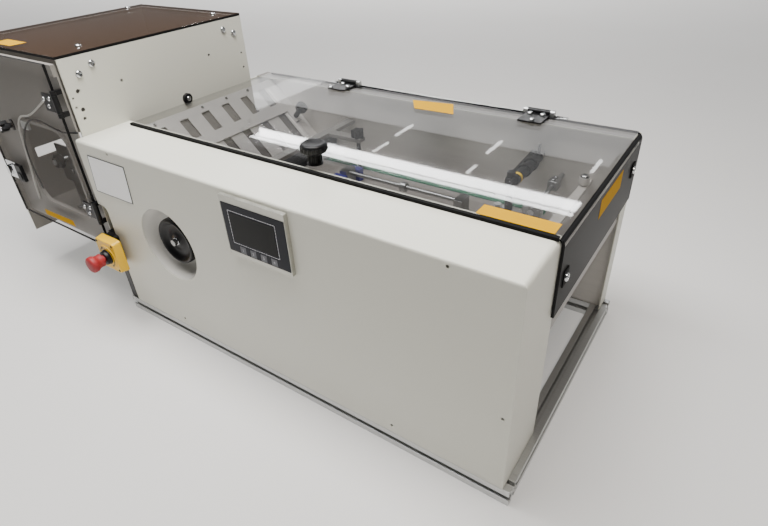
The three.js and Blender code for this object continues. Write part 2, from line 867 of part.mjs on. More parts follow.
// Motor and motor gear
function buildMotor() {
  const face = innerFront;
  const end = face + motorLength;
  const nose = frontFrameY - bossHeight / 2;
  const bore = motorShaftRadius + seat;
  const depth = nose + motorShaftDepth;
  const body = turned(alongY, [
    [bore, nose], [motorNoseRadius, nose], [motorNoseRadius, face], [motorFlangeRadius, face],
    [motorFlangeRadius, face + motorFlange], [motorRadius, face + motorFlange],
    [motorRadius, end - motorFlange], [motorRadius - motorFlange / 2, end],
    [0, end], [0, depth], [bore, depth], [bore, nose],
  ], [motorX, motorZ]);
  const middle = (face + end) / 2;
  const terminals = block(
    [motorX - motorBoxSize / 2, motorX + motorBoxSize / 2],
    [middle - motorBoxSize / 2, middle + motorBoxSize / 2],
    [motorZ - motorRadius - motorBoxHeight, motorZ - motorRadius / 2],
  );
  const outside = cut(terminals, rod(alongY, motorRadius / 2, [face, end], [motorX, motorZ]));
  add("motor", join(body, outside), greyPaint);
  const teeth = gear(motorTeeth, 1 / 2, [gearFront, gearFront + gearWidth], [motorX, motorZ]);
  const shaft = rod(alongY, motorShaftRadius, [gearFront - shaftNose, depth - overrun], [motorX, motorZ]);
  add("motor_gear", join(teeth, shaft), steel);
}

// Bed, belt and pulleys
function buildBed() {
  const [left, right] = [-bedLeft, -bedRight];
  const sheet = polygon([
    [left, bedTop - bedLip], [left + bedSheet, bedTop - bedLip], [left + bedSheet, bedTop - bedSheet],
    [right - bedSheet, bedTop - bedSheet], [right - bedSheet, bedTop - bedLip], [right, bedTop - bedLip],
    [right, bedTop], [left, bedTop],
  ]);
  const slots = [drivePulleyX, idlerPulleyX].map((x) => block(
    [x - beltOuter - pulleySlotGap, x + beltOuter + pulleySlotGap],
    [beltY - beltWidth / 2 - pulleySlotGap, beltY + beltWidth / 2 + pulleySlotGap],
    [bedTop - bedSheet - overrun, bedTop + overrun],
  ));
  add("bed_plate", cut(prism(alongY, sheet, [innerFront, innerRear]), ...slots), bedSteel);
}

function stadium(radius, x0, x1, z) {
  const shape = new THREE.Shape();
  shape.absarc(x0, z, radius, Math.PI / 2, 3 * Math.PI / 2, false);
  shape.absarc(x1, z, radius, -Math.PI / 2, Math.PI / 2, false);
  shape.closePath();
  return shape;
}

function buildBelt() {
  const width = [beltY - beltWidth / 2, beltY + beltWidth / 2];
  const steps = smallSides;
  const loop = stadium(beltOuter, drivePulleyX, idlerPulleyX, pulleyZ);
  const inside = stadium(beltInner, drivePulleyX, idlerPulleyX, pulleyZ).getPoints(steps).reverse();
  loop.holes.push(new THREE.Path(inside));
  const belt = new THREE.ExtrudeGeometry(loop, {
    depth: beltWidth, bevelEnabled: false, curveSegments: steps,
  });
  add("transport_belt", belt.translate(0, 0, -width[1]).applyMatrix4(alongY), greenBelt);
  const shaft = [frontFrameY - shaftTail, rearFrameY + frameSheet + shaftTail];
  const edge = pulleyRadius + pulleyFlange;
  const flange = pulleyFlangeWidth;
  [["belt_pulley_drive", drivePulleyX], ["belt_pulley_idler", idlerPulleyX]].forEach(([name, x]) => {
    const profile = [
      [0, shaft[0]], [shaftRadius, shaft[0]], [shaftRadius, width[0] - flange - seat],
      [edge, width[0] - flange - seat], [edge, width[0] - seat], [pulleyRadius, width[0] - seat],
      [pulleyRadius, width[1] + seat], [edge, width[1] + seat], [edge, width[1] + flange + seat],
      [shaftRadius, width[1] + flange + seat], [shaftRadius, shaft[1]], [0, shaft[1]],
    ];
    add(name, turned(alongY, profile, [x, pulleyZ], roundSides), aluminium);
  });
}

// What stands over the bed
function buildBedFittings() {
  const floor = bedTop + seat;
  const back = registerY + registerThickness;
  const wall = block(registerX, [registerY, back], [floor, floor + registerHeight]);
  const foot = block(registerX, [registerY, back + registerFoot], [floor, floor + registerFootThickness]);
  add("register_rail", join(wall, foot), steel);

  const rodZ = bedTop + guideRodLift;
  const post = (x) => block(
    [x - guidePostSize / 2, x + guidePostSize / 2],
    [guideRodY - guidePostWidth / 2, guideRodY + guidePostWidth / 2],
    [floor, rodZ + guideRodRadius + guidePostSize / 4],
  );
  const collar = guideRodX.reduce((sum, x) => sum + x, 0) / 2;
  add("side_guide", join(
    rod(alongX, guideRodRadius, guideRodX, [guideRodY, rodZ]),
    post(guideRodX[0]), post(guideRodX[1]),
    rod(alongX, guideCollarRadius, [collar, collar + guideCollarLength], [guideRodY, rodZ]),
  ), steel);

  const armZ = bedTop + armLift;
  const armTop = armZ + armThickness;
  const armKnobTop = armZ + armKnobHeight;
  const infeedArm = polygon([
    [armX - armFrontWidth / 2, innerFront], [armX + armFrontWidth / 2, innerFront],
    [armX + armWidth / 2, innerRear], [armX - armWidth / 2, innerRear],
  ]);
  add("infeed_arm", join(
    prism(alongZ, infeedArm, [armZ, armTop]),
    rod(alongZ, armStemRadius, [armZ - armKnobHeight / 2, armKnobTop], [armX, armKnobY]),
    rod(alongZ, armKnobRadius, [armTop + armStemRadius, armKnobTop], [armX, armKnobY]),
  ), steel);

  const sensorZ = bedTop + sensorLift;
  const tip = innerRear - sensorReach;
  const arm = polygon([
    [sensorX - sensorTipWidth / 2, tip], [sensorX + sensorTipWidth / 2, tip],
    [sensorX + sensorRootWidth / 2, innerRear], [sensorX - sensorRootWidth / 2, innerRear],
  ]);
  add("sensor_arm", join(
    prism(alongZ, arm, [sensorZ, sensorZ + sensorThickness]),
    rod(alongZ, sensorRadius, [sensorZ - sensorLength + sensorThickness, sensorZ + 2 * sensorThickness],
      [sensorX, tip + sensorTipInset]),
  ), blackPlastic);
}

// Cross bar, hold-down arm and star knob
function starOutline(radius, lobes, lobeRadius) {
  const shape = new THREE.Shape();
  const steps = 4 * lobes;
  for (let i = 0; i < steps; i += 1) {
    const angle = i / steps * 2 * Math.PI;
    const reach = radius - lobeRadius / 2 + lobeRadius / 2 * Math.cos(lobes * angle);
    const [x, y] = [reach * Math.cos(angle), reach * Math.sin(angle)];
    if (i === 0) shape.moveTo(x, y);
    else shape.lineTo(x, y);
  }
  shape.closePath();
  return shape;
}

function buildCrossBar() {
  const low = bedTop + crossBarLift;
  const high = low + crossBarThickness;
  const [left, right] = [crossBarX - crossBarWidth / 2, crossBarX + crossBarWidth / 2];
  const bar = block([left, right], [innerFront, innerRear], [low, high]);
  const armY = [holdArmY, holdArmY + holdArmWidth];
  const arm = block([crossBarX, crossBarX + holdArmReach], armY, [low, high]);
  const knobX = crossBarX + holdArmReach - holdArmWidth / 2;
  const knobY = holdArmY + holdArmWidth / 2;
  const hole = rod(alongZ, holdStemRadius + seat, [low - overrun, high + overrun], [knobX, knobY]);
  add("cross_bar", cut(join(bar, arm), hole), greyPaint);
  const foot = bedTop + holdFootLift;
  const star = starOutline(gapKnobRadius, gapKnobLobes, gapKnobLobeRadius);
  add("gap_knob", join(
    prism(alongZ, star, [high + seat, high + seat + gapKnobHeight]).translate(knobX, knobY, 0),
    rod(alongZ, holdStemRadius, [foot, high + gapKnobHeight], [knobX, knobY]),
    rod(alongZ, holdFootRadius, [foot, foot + holdFootHeight], [knobX, knobY]),
  ), blackPlastic);
}

// Upper fold plate, drawn flat: x runs down the slope from its top edge, z is square to the sheet
function buildUpperFoldPlate() {
  const slope = new THREE.Group();
  slope.position.set(foldTopX, 0, foldTopZ);
  slope.rotation.y = foldSlope;
  machine.add(slope);

  const across = [innerFront, innerRear];
  const windows = [];
  for (let i = 0; i < windowCount; i += 1) {
    const y = windowFirstY + i * windowPitch;
    windows.push(block(
      [windowStart, windowStart + windowLength], [y, y + windowWidth], [-foldSheet - overrun, overrun],
    ));
  }
  const sheet = cut(block([0, foldLength], across, [-foldSheet, 0]), ...windows);
  const scale = block(
    [scaleStart, scaleStart + scaleLength], [scaleY, scaleY + scaleWidth], [-foldSheet / 2, scaleThickness],
  );
  const noseCut = rod(alongY, rollerRadius + overrun, across, [foldLength + overrun, foldNoseLift + overrun]);
  add("fold_plate_top", cut(join(sheet, scale), noseCut), steel, slope);

  const baseTop = -foldSheet - foldChannel;
  const rail = ([y0, y1]) => block([0, foldLength], [y0, y1], [baseTop - foldSheet / 2, -foldSheet - seat]);
  add("fold_plate_base", join(
    block([0, foldLength], across, [baseTop - foldSheet, baseTop]),
    rail([across[0], across[0] + foldRailWidth]),
    rail([across[1] - foldRailWidth, across[1]]),
  ), steel, slope);

  const stopEnd = stopStart + stopWidth;
  const stopY = [across[0] + stopSideGap, across[1] - stopRearGap];
  const lift = scaleThickness + seat;
  const fingers = windows.map((_, i) => {
    const middle = windowFirstY + i * windowPitch + windowWidth / 2;
    return block(
      [stopEnd - stopFingerInset - stopFingerThickness, stopEnd - stopFingerInset],
      [middle - stopFingerWidth / 2, middle + stopFingerWidth / 2],
      [baseTop + seat, lift + stopThickness / 2],
    );
  });
  const tabEnd = stopEnd + stopTabLength;
  const knobPlace = [tabEnd - stopKnobFromTabEnd, stopY[1] - stopTabWidth / 2];
  const stopTop = lift + stopThickness;
  const screwHole = rod(alongZ, stopKnobScrewRadius + seat, [lift - overrun, stopTop + overrun], knobPlace);
  const stopBar = block([stopStart, stopEnd], stopY, [lift, stopTop]);
  const tabY = [stopY[1] - stopTabWidth, stopY[1]];
  const tab = block([stopEnd - stopFingerInset, tabEnd], tabY, [lift, stopTop]);
  add("fold_stop", cut(join(stopBar, tab, ...fingers), screwHole), steel, slope);
  add("stop_knob", join(
    rod(alongZ, stopKnobScrewRadius, [lift, stopTop + stopKnobHeight / 2], knobPlace),
    rod(alongZ, stopKnobNeckRadius, [stopTop + seat, stopTop + stopKnobNeck + seat], knobPlace),
    rod(alongZ, stopKnobRadius, [stopTop + stopKnobNeck, stopTop + stopKnobHeight], knobPlace, roundSides),
  ), blackPlastic, slope);
}

// Lower fold plate: a flat channel that slopes down between the second and fourth rollers
function buildLowerFoldPlate() {
  const slope = new THREE.Group();
  slope.position.set(wheelX - rollerPitch / 2, 0, wheelZ - rollerPitch / 2);
  slope.rotation.y = lowerSlope;
  machine.add(slope);
  const half = foldSheet + foldChannel / 2;
  const across = [innerFront, innerRear];
  const outside = block([lowerSetBack, lowerSetBack + lowerLength], across, [-half, half]);
  const inside = block(
    [lowerSetBack - overrun, lowerSetBack + lowerLength + overrun],
    [across[0] + foldRailWidth, across[1] - foldRailWidth],
    [-foldChannel / 2, foldChannel / 2],
  );
  add("lower_fold_plate", cut(outside, inside), steel, slope);
}

// Operator panel
function buildPanel() {
  const outline = rounded(rectangle(panelX, panelZ), panelCornerRadius);
  const bezel = prism(alongY, outline, [-panelBezel - seat, -seat]);
  const body = block(
    [panelX[0] + panelBodyInset, panelX[1] - panelBodyInset],
    [-panelBezel / 2, panelBodyDepth],
    [panelZ[0] + panelBodyInset, panelZ[1] - panelBodyInset],
  );
  const face = -panelBezel - seat;
  const screen = block(
    [panelCentreX - screenWidth / 2, panelCentreX + screenWidth / 2],
    [face - overrun, face + screenRecess],
    [panelZ[1] - screenTopInset - screenHeight, panelZ[1] - screenTopInset],
  );
  const keys = [];
  for (let i = 0; i < keyCount; i += 1) {
    keys.push([panelCentreX + (i - (keyCount - 1) / 2) * keyPitch, panelZ[0] + keyRise]);
  }
  const square = ([x, z], size, depths) => block(
    [x - size / 2, x + size / 2], depths, [z - size / 2, z + size / 2],
  );
  const pocketFloor = face + keyDepth + keyTravel + seat;
  const pockets = keys.map((place) => square(place, keySize + 2 * seat, [face - overrun, pocketFloor]));
  add("operator_panel", cut(join(bezel, body), screen, ...pockets), aluminium);
  keys.forEach((place, i) => {
    add(`panel_key_${i + 1}`, square(place, keySize, [face - keyProud, face + keyDepth]), keyPlastic);
  });
}

// Emergency stop
function buildEmergencyStop() {
  const left = -coverLength + postLeftGap;
  const boxX = [left, left + stopBoxWidth];
  const boxZ = [-stopBoxTop - stopBoxHeight, -stopBoxTop];
  const back = -stopBoxBack;
  const front = back - stopBoxDepth;
  const centre = [(boxX[0] + boxX[1]) / 2, (boxZ[0] + boxZ[1]) / 2];
  const shell = prism(alongY, rounded(rectangle(boxX, boxZ), stopBoxCorner), [front, back]);
  const collar = rod(alongY, collarRadius, [front - collarHeight, front + seat], centre, roundSides);
  const stemEnd = front - collarHeight - overrun + buttonStem;
  const boreY = [front - collarHeight - overrun, stemEnd + buttonTravel + seat];
  const bore = rod(alongY, buttonStemRadius + seat, boreY, centre);
  add("estop_box", cut(join(shell, collar), bore), yellowPlastic);

  const neckBack = front - collarHeight - buttonTravel - seat;
  const headBack = neckBack - buttonNeck;
  const headFront = headBack - buttonHeight;
  const edge = buttonHeight / 4;
  add("estop_button", turned(alongY, [
    [0, stemEnd], [buttonStemRadius, stemEnd], [buttonStemRadius, neckBack], [buttonNeckRadius, neckBack],
    [buttonNeckRadius, headBack], [buttonRadius - edge / 2, headBack], [buttonRadius, headBack - edge],
    [buttonRadius, headFront + edge], [buttonRadius - edge, headFront], [0, headFront],
  ], centre), redPlastic);

  const face = back + seat;
  const postY = [coverSheet + seat, coverSheet + seat + postSize];
  add("estop_post", join(
    block([left, left + postSize], postY, [-coverHeight, -stopBoxTop]),
    block([left, left + postSize], [face, postY[0] + seat], [boxZ[0] + seat, boxZ[1] - seat]),
  ), greyPaint);
}

// Lid with its knob and hinges
function buildLid() {
  const [low, high] = [seat, seat + lidSheet];
  const inner = lidBend - lidSheet;
  const [cx, cz] = [lidRight - lidBend, high - lidBend];
  const shape = new THREE.Shape();
  shape.moveTo(-lidLeft, low);
  shape.lineTo(cx, low);
  shape.absarc(cx, cz, inner, Math.PI / 2, 0, true);
  shape.lineTo(lidRight - lidSheet, -flapDrop);
  shape.lineTo(lidRight, -flapDrop);
  shape.lineTo(lidRight, cz);
  shape.absarc(cx, cz, lidBend, 0, Math.PI / 2, false);
  shape.lineTo(-lidLeft, high);
  shape.closePath();
  const sheet = prism(alongY, shape, [lidFront, lidRear]);
  const corner = block(
    [cx - overrun, lidRight + overrun], [lidFront - overrun, flapFront], [-flapDrop - overrun, low],
  );
  add("lid", cut(sheet, corner), smokedSheet);

  const base = high + seat;
  const top = base + lidKnobHeight;
  const head = top - lidKnobHeadHeight;
  const edge = lidKnobHeadHeight / 4;
  const knob = turned(alongZ, [
    [0, base], [lidKnobNeckRadius, base], [lidKnobNeckRadius, head - edge], [lidKnobRadius - edge, head],
    [lidKnobRadius, head + edge], [lidKnobRadius, top - edge], [lidKnobRadius - edge, top],
    [lidKnobRadius - 2 * edge, top - lidKnobDish], [0, top - lidKnobDish],
  ], [0, 0]);
  const flutes = [];
  for (let i = 0; i < lidKnobFlutes; i += 1) {
    const angle = i / lidKnobFlutes * 2 * Math.PI;
    const place = [lidKnobNeckRadius * Math.cos(angle), lidKnobNeckRadius * Math.sin(angle)];
    flutes.push(rod(alongZ, lidKnobFluteRadius, [base + lidKnobDish, head - edge], place, smallSides / 2));
  }
  add("lid_knob", cut(knob, ...flutes).translate(lidKnobX, lidKnobY, 0), blackPlastic);
}

function buildLidHinges() {
  const [y, z] = [lidHingeY, lidHingeLift];
  const half = lidKnuckleLength / 2;
  const ends = [lidHingeX[0] - hingeBarEnd, lidHingeX[1] + hingeBarEnd];
  const barY = [y - knuckleRadius - pinRadius / 4, y - knuckleRadius - pinRadius / 4 + hingeBarDepth];
  const bar = block(ends, barY, [seat, seat + hingeBarSheet]);
  const ears = lidHingeX.flatMap((x) => [-1, 1].flatMap((side) => {
    const near = x + side * (half + seat);
    const far = near + side * earLength;
    const span = side < 0 ? [far, near] : [near, far];
    return [
      block(span, [y - knuckleRadius, y + knuckleRadius], [hingeBarSheet, z]),
      rod(alongX, knuckleRadius, span, [y, z]),
    ];
  }));
  const pinHalf = half + earLength;
  const pins = lidHingeX.map((x) => rod(alongX, pinRadius, [x - pinHalf, x + pinHalf], [y, z]));
  add("lid_hinge_bar", join(bar, ...ears, ...pins), blackPlastic);

  const leafZ = [seat + lidSheet + seat, seat + lidSheet + seat + leafSheet];
  ["lid_hinge_leaf_left", "lid_hinge_leaf_right"].forEach((name, i) => {
    const x = lidHingeX[i];
    const wide = [x - lidHingeWidth / 2, x + lidHingeWidth / 2];
    const tongue = [x - half, x + half];
    const leaf = join(
      block(wide, [lidRear - lidLeafReach, lidRear + seat], leafZ),
      block(tongue, [lidRear - lidLeafReach / 2, y - knuckleRadius / 2], leafZ),
      rod(alongX, knuckleRadius, tongue, [y, z]),
    );
    const bore = rod(alongX, pinRadius + seat, [x - half - overrun, x + half + overrun], [y, z]);
    add(name, cut(leaf, bore), blackPlastic);
  });
}

// Delivery section walls
const guideSlopeStart = [wheelX - rollerPitch - exitGuideStart, wheelZ - rollerPitch / 2 - exitGuideDrop];
const guideSlopeEnd = [deliveryX + exitGuideEnd, deliveryZ - exitGuideDrop];
function guideHeight(x) {
  const share = (x - guideSlopeStart[0]) / (guideSlopeEnd[0] - guideSlopeStart[0]);
  return guideSlopeStart[1] + share * (guideSlopeEnd[1] - guideSlopeStart[1]);
}

function buildTallWalls() {
  const faces = [wallX - tallSheet, wallX];
  const past = [wallX - tallSheet - overrun, wallX + overrun];
  const belowRear = machineDepth - tallWallRearInset;
  const outline = polygon([
    [tallWallBelowFront, -tallWallBottom], [belowRear, -tallWallBottom], [belowRear, frameTop],
    [tallDepth, frameTop], [tallDepth, tallHeight], [tallWallFront, tallHeight], [tallWallFront, frameTop],
    [tallWallBelowFront, frameTop],
  ]);
  const passageLow = guideHeight(faces[1]) - exitGuideSheet - seat;
  const passage = block(past, [innerFront + exitGuideSide - seat, innerRear - exitGuideSide],
    [passageLow, passageLow + passageHeight]);
  const holeShares = [
    [0.04, 0.575, 1], [0.01, 0.505, 0.5], [0.01, 0.385, 0.5], [0.035, 0.335, 1], [0.03, 0.22, 0.75],
    [0.245, 0.555, 0.75], [0.745, 0.55, 0.75], [0.96, 0.44, 0.625], [0.96, 0.21, 0.75],
  ];
  const holes = holeShares.map(([back, up, size]) => rod(
    alongX, size * wallHoleRadius, past,
    [tallWallFront + overrun / 2 + back * (tallDepth - tallWallFront), up * tallHeight], wallHoleSides,
  ));
  add("tall_right_wall", cut(prism(alongX, outline, faces), passage, ...holes), paint);

  const leftWall = block([tallLeft, tallLeft + tallSheet], [0, tallDepth], [-leftWallBottom, tallHeight]);
  const rearY = [tallDepth - tallSheet, tallDepth];
  const rearWall = block([tallLeft, tallRight], rearY, [-tallFloor, tallHeight]);
  const floor = block([tallLeft, tallRight],
    [frontFrameSet + tallSheet + seat, tallDepth], [-tallFloor, -tallFloor + tallSheet]);
  const slot = block([tallLeft - overrun, tallLeft + tallSheet + overrun],
    [deliveryCheekY[0], deliveryCheekY[1]], [deliveryZ - exitSlotHeight / 2, deliveryZ + exitSlotHeight / 2]);
  add("tall_housing", cut(join(leftWall, rearWall, floor), slot), paint);
}

// The opening widens downwards, with large round corners
function openingCorners(grow) {
  const right = tallRight - openingRightInset + grow;
  const leftShares = [0.265, 0.41];
  const inner = tallLeft + tallSheet;
  const low = -tallFloor + tallSheet + openingAboveFloor - grow;
  const high = openingTopShare * (tallFloor + tallHeight) - tallFloor + grow;
  const width = tallRight - inner;
  return [
    [inner + leftShares[0] * width - grow, low],
    [right, low],
    [right, high],
    [inner + leftShares[1] * width - grow, high],
  ];
}

function buildTallFront() {
  const spanX = [tallLeft + tallSheet + seat, tallRight];
  const faces = [frontFrameSet, frontFrameSet + tallSheet];
  const low = -tallFloor + seat;
  const barTop = tallHeight - topBarBelowGuard;
  const plate = block(spanX, faces, [low, barTop]);
  const lip = prism(alongY, rounded(openingCorners(openingLip), openingCorner + openingLip),
    [openingLipFront, faces[0] + seat]);
  const through = [openingLipFront - overrun, faces[1] + overrun];
  const opening = prism(alongY, rounded(openingCorners(0), openingCorner), through);
  const bar = block(spanX, [faces[1] - topBarDepth, faces[1]], [barTop - topBarHeight, barTop]);
  const half = doorKnuckleLength / 2;
  const ears = doorHingeZ.flatMap((z) => [-1, 1].flatMap((side) => {
    const near = z + side * (half + seat);
    const far = near + side * earLength;
    const span = side < 0 ? [far, near] : [near, far];
    return [
      block([doorAxisX - knuckleRadius / 2, tallRight], [-doorAxisFront, faces[0] + seat], span),
      rod(alongZ, knuckleRadius, span, [doorAxisX, -doorAxisFront]),
    ];
  }));
  const pins = doorHingeZ.map((z) => rod(
    alongZ, pinRadius, [z - half - earLength, z + half + earLength], [doorAxisX, -doorAxisFront],
  ));
  add("tall_front_frame", join(cut(join(plate, lip), opening), bar, ...ears, ...pins), greyPaint);
}

function buildGuardAndDoor() {
  const low = tallHeight + seat;
  add("top_guard", block([tallLeft, wallX], [guardFront, tallDepth], [low, low + guardSheet]), bronzeSheet);

  const doorX = [tallLeft + doorLeftInset, wallX - doorRightInset];
  const doorY = [-doorFront, -doorFront + doorSheet];
  const panel = block(doorX, doorY, [-doorBottom, tallHeight - doorTopGap]);
  const through = [doorY[0] - overrun, doorY[1] + overrun];
  const stemHole = rod(alongY, doorKnobStem + seat, through, [doorKnobX, doorKnobZ]);
  add("door", cut(panel, stemHole), smokedSheet);

  const leafY = [doorY[0] - seat - leafSheet, doorY[0] - seat];
  const half = doorKnuckleLength / 2;
  ["door_hinge_leaf_upper", "door_hinge_leaf_lower"].forEach((name, i) => {
    const z = doorHingeZ[i];
    const axis = [doorAxisX, -doorAxisFront];
    const leafZ = [z - doorLeafHeight / 2, z + doorLeafHeight / 2];
    const leaf = join(
      block([doorAxisX - doorLeafReach, doorX[1] - seat], leafY, leafZ),
      block([doorX[1] - doorRightInset, doorAxisX - knuckleRadius / 2], leafY, [z - half, z + half]),
      rod(alongZ, knuckleRadius, [z - half, z + half], axis),
    );
    const bore = rod(alongZ, pinRadius + seat, [z - half - overrun, z + half + overrun], axis);
    add(name, cut(leaf, bore), blackPlastic);
  });

  const front = doorY[0] - seat;
  const latchX = doorX[0] + latchInset;
  const plate = block([latchX, latchX + latchWidth], [front - latchThickness, front],
    [latchZ - latchHeight / 2, latchZ + latchHeight / 2]);
  const lever = block(
    [latchX + latchWidth / 4, latchX + latchWidth / 2],
    [front - latchThickness - latchLever, front],
    [latchZ - latchHeight / 4, latchZ + latchHeight / 4],
  );
  add("door_latch", join(plate, lever), chrome);

  const outline = starOutline(doorKnobRadius, doorKnobArms, doorKnobRadius);
  const star = prism(alongY, outline, [front - doorKnobHeight, front]);
  const stemEnd = doorY[1] + seat + doorCamThickness;
  add("door_knob", join(
    star.translate(doorKnobX, 0, doorKnobZ),
    rod(alongY, doorKnobStem, [front - doorKnobHeight / 2, stemEnd], [doorKnobX, doorKnobZ]),
    block([doorKnobX - doorCamWidth / 2, doorKnobX + doorCamWidth / 2], [doorY[1] + seat, stemEnd],
      [doorKnobZ - doorCamLength / 2, doorKnobZ + doorCamLength / 2]),
  ), blackPlastic);
}

// Delivery rollers, frame and guide
function buildDelivery() {
  const shafts = [deliveryZ + deliveryPitch / 2, deliveryZ - deliveryPitch / 2];
  const frameX = [deliveryX - deliveryFrameWidth / 2, deliveryX + deliveryFrameWidth / 2];
  const floor = -tallFloor + tallSheet + seat;
  const [cheekFront, cheekRear] = deliveryCheekY;
  const top = shafts[0] + deliveryFrameTop;
  const legX = [deliveryX - deliveryLegWidth / 2, deliveryX + deliveryLegWidth / 2];
  const cheek = (y) => join(
    block(frameX, [y, y + deliveryCheek], [top - deliveryCheekDrop, top]),
    block(legX, [y, y + deliveryCheek], [floor, top]),
  );
  const web = block(frameX, [cheekFront, cheekRear + deliveryCheek], [floor, floor + deliveryCheek]);
  const past = [cheekFront - overrun, cheekRear + deliveryCheek + overrun];
  const holes = shafts.map((z) => rod(alongY, shaftHole, past, [deliveryX, z]));
  add("delivery_frame", cut(join(cheek(cheekFront), cheek(cheekRear), web), ...holes), steel);

  const radius = deliveryPitch / 2 - nipGap / 2;
  const face = [cheekFront + 2 * deliveryCheek, cheekRear - deliveryCheek];
  const gearStart = cheekRear + deliveryCheek + deliveryGearGap;
  const gearY = [gearStart, gearStart + deliveryGearWidth];
  const names = ["delivery_roller_upper", "delivery_roller_lower"];
  const noses = [deliveryShaftFront, cheekFront - shaftTail];
  const phases = [0, 1 / 2];
  names.forEach((name, i) => {
    const profile = [
      [0, noses[i]], [shaftRadius, noses[i]], [shaftRadius, face[0]], [radius, face[0]], [radius, face[1]],
      [shaftRadius, face[1]], [shaftRadius, gearY[1] + shaftTail], [0, gearY[1] + shaftTail],
    ];
    const roller = turned(alongY, profile, [deliveryX, shafts[i]], rollerSides);
    add(name, join(roller, gear(deliveryTeeth, phases[i], gearY, [deliveryX, shafts[i]])), rubber);
  });

  const knobFront = deliveryShaftFront + shaftTail;
  const knobEdge = deliveryKnobLength / 4;
  add("delivery_knob", turned(alongY, [
    [shaftHole, knobFront], [shaftHole, knobFront + deliveryKnobLength],
    [deliveryKnobRadius - knobEdge, knobFront + deliveryKnobLength],
    [deliveryKnobRadius, knobFront + deliveryKnobLength - knobEdge],
    [deliveryKnobRadius, knobFront + knobEdge], [deliveryKnobRadius - knobEdge, knobFront],
    [shaftHole, knobFront],
  ], [deliveryX, shafts[0]]), blackPlastic);

  const [start, end] = [guideSlopeStart, guideSlopeEnd];
  const guide = polygon([
    [end[0], end[1] - exitGuideSheet], [start[0], start[1] - exitGuideSheet], start, end,
  ]);
  add("exit_guide", prism(alongY, guide, [innerFront + exitGuideSide, cheekRear - exitGuideRear]), steel);
}

// Cables: the white one crosses the front frame, the black one runs behind it
function cable(points, radius, steps) {
  const ring = [];
  for (let i = 0; i < cableSides; i += 1) {
    const angle = i / cableSides * 2 * Math.PI;
    ring.push(new THREE.Vector2(radius * Math.cos(angle), radius * Math.sin(angle)));
  }
  const path = new THREE.CatmullRomCurve3(points.map((point) => new THREE.Vector3(...point)));
  return new THREE.ExtrudeGeometry(new THREE.Shape(ring), { extrudePath: path, steps, bevelEnabled: false });
}

function buildCables() {
  const place = (nearY) => ([along, up, back]) => [
    tallRight - along * tallLength, nearY + back * blackCableSag, up * (tallFloor + tallHeight) - tallFloor,
  ];
  const whiteShares = [
    [0.070, 0.859, 0], [0.177, 0.808, 0], [0.275, 0.762, 0], [0.359, 0.721, 0],
    [0.462, 0.680, 0], [0.566, 0.659, 0], [0.624, 0.615, 0], [0.655, 0.556, 0],
    [0.676, 0.480, 0], [0.696, 0.412, 0], [0.713, 0.350, 0], [0.736, 0.271, 0],
    [0.759, 0.192, 0], [0.773, 0.122, 0],
  ];
  const whiteY = frontFrameSet - whiteCableRadius - whiteCableGap;
  add("white_cable", cable(whiteShares.map(place(whiteY)), whiteCableRadius, whiteCableSteps), whitePlastic);
  const blackShares = [
    [0.010, 0.642, 1.00], [0.076, 0.634, 1.00], [0.151, 0.623, 1.00], [0.229, 0.612, 1.00],
    [0.301, 0.612, 0.83], [0.370, 0.621, 0.67], [0.442, 0.621, 0.33], [0.508, 0.615, 0.17],
    [0.566, 0.588, 0.00], [0.595, 0.539, 0.00], [0.618, 0.474, 0.00], [0.635, 0.407, 0.00],
    [0.652, 0.339, 0.00], [0.676, 0.257, 0.00], [0.693, 0.190, 0.00],
  ];
  const blackY = frontFrameSet + tallSheet + blackCableRadius + blackCableGap;
  add("black_cable", cable(blackShares.map(place(blackY)), blackCableRadius, blackCableSteps), rubber);
}

buildBase();
buildSideFrames();
buildFrontCover();
buildRearCover();
buildHandwheel();
buildFoldRollers();
buildMotor();
buildBed();
buildBelt();
buildBedFittings();
buildCrossBar();
buildUpperFoldPlate();
buildLowerFoldPlate();
buildPanel();
buildEmergencyStop();
buildLid();
buildLidHinges();
buildTallWalls();
buildTallFront();
buildGuardAndDoor();
buildDelivery();
buildCables();

const reach = new THREE.Box3().setFromObject(machine);
const middle = reach.getCenter(new THREE.Vector3());
machine.position.set(-middle.x, -middle.y, -reach.min.z);

const root = new THREE.Group();
root.add(machine);
root.updateMatrixWorld(true);

export default root;
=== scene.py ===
# A paper folding machine: a powder coated fold section under a smoked lid, and a taller delivery section.
# Sizes are the machine's own millimetres: x = 0 is the infeed end, y = 0 the operator's side and z = 0 the
# deck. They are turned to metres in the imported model's frame as each mesh is finished.

import json
import math

import bmesh
import bpy
from mathutils import Matrix, Vector

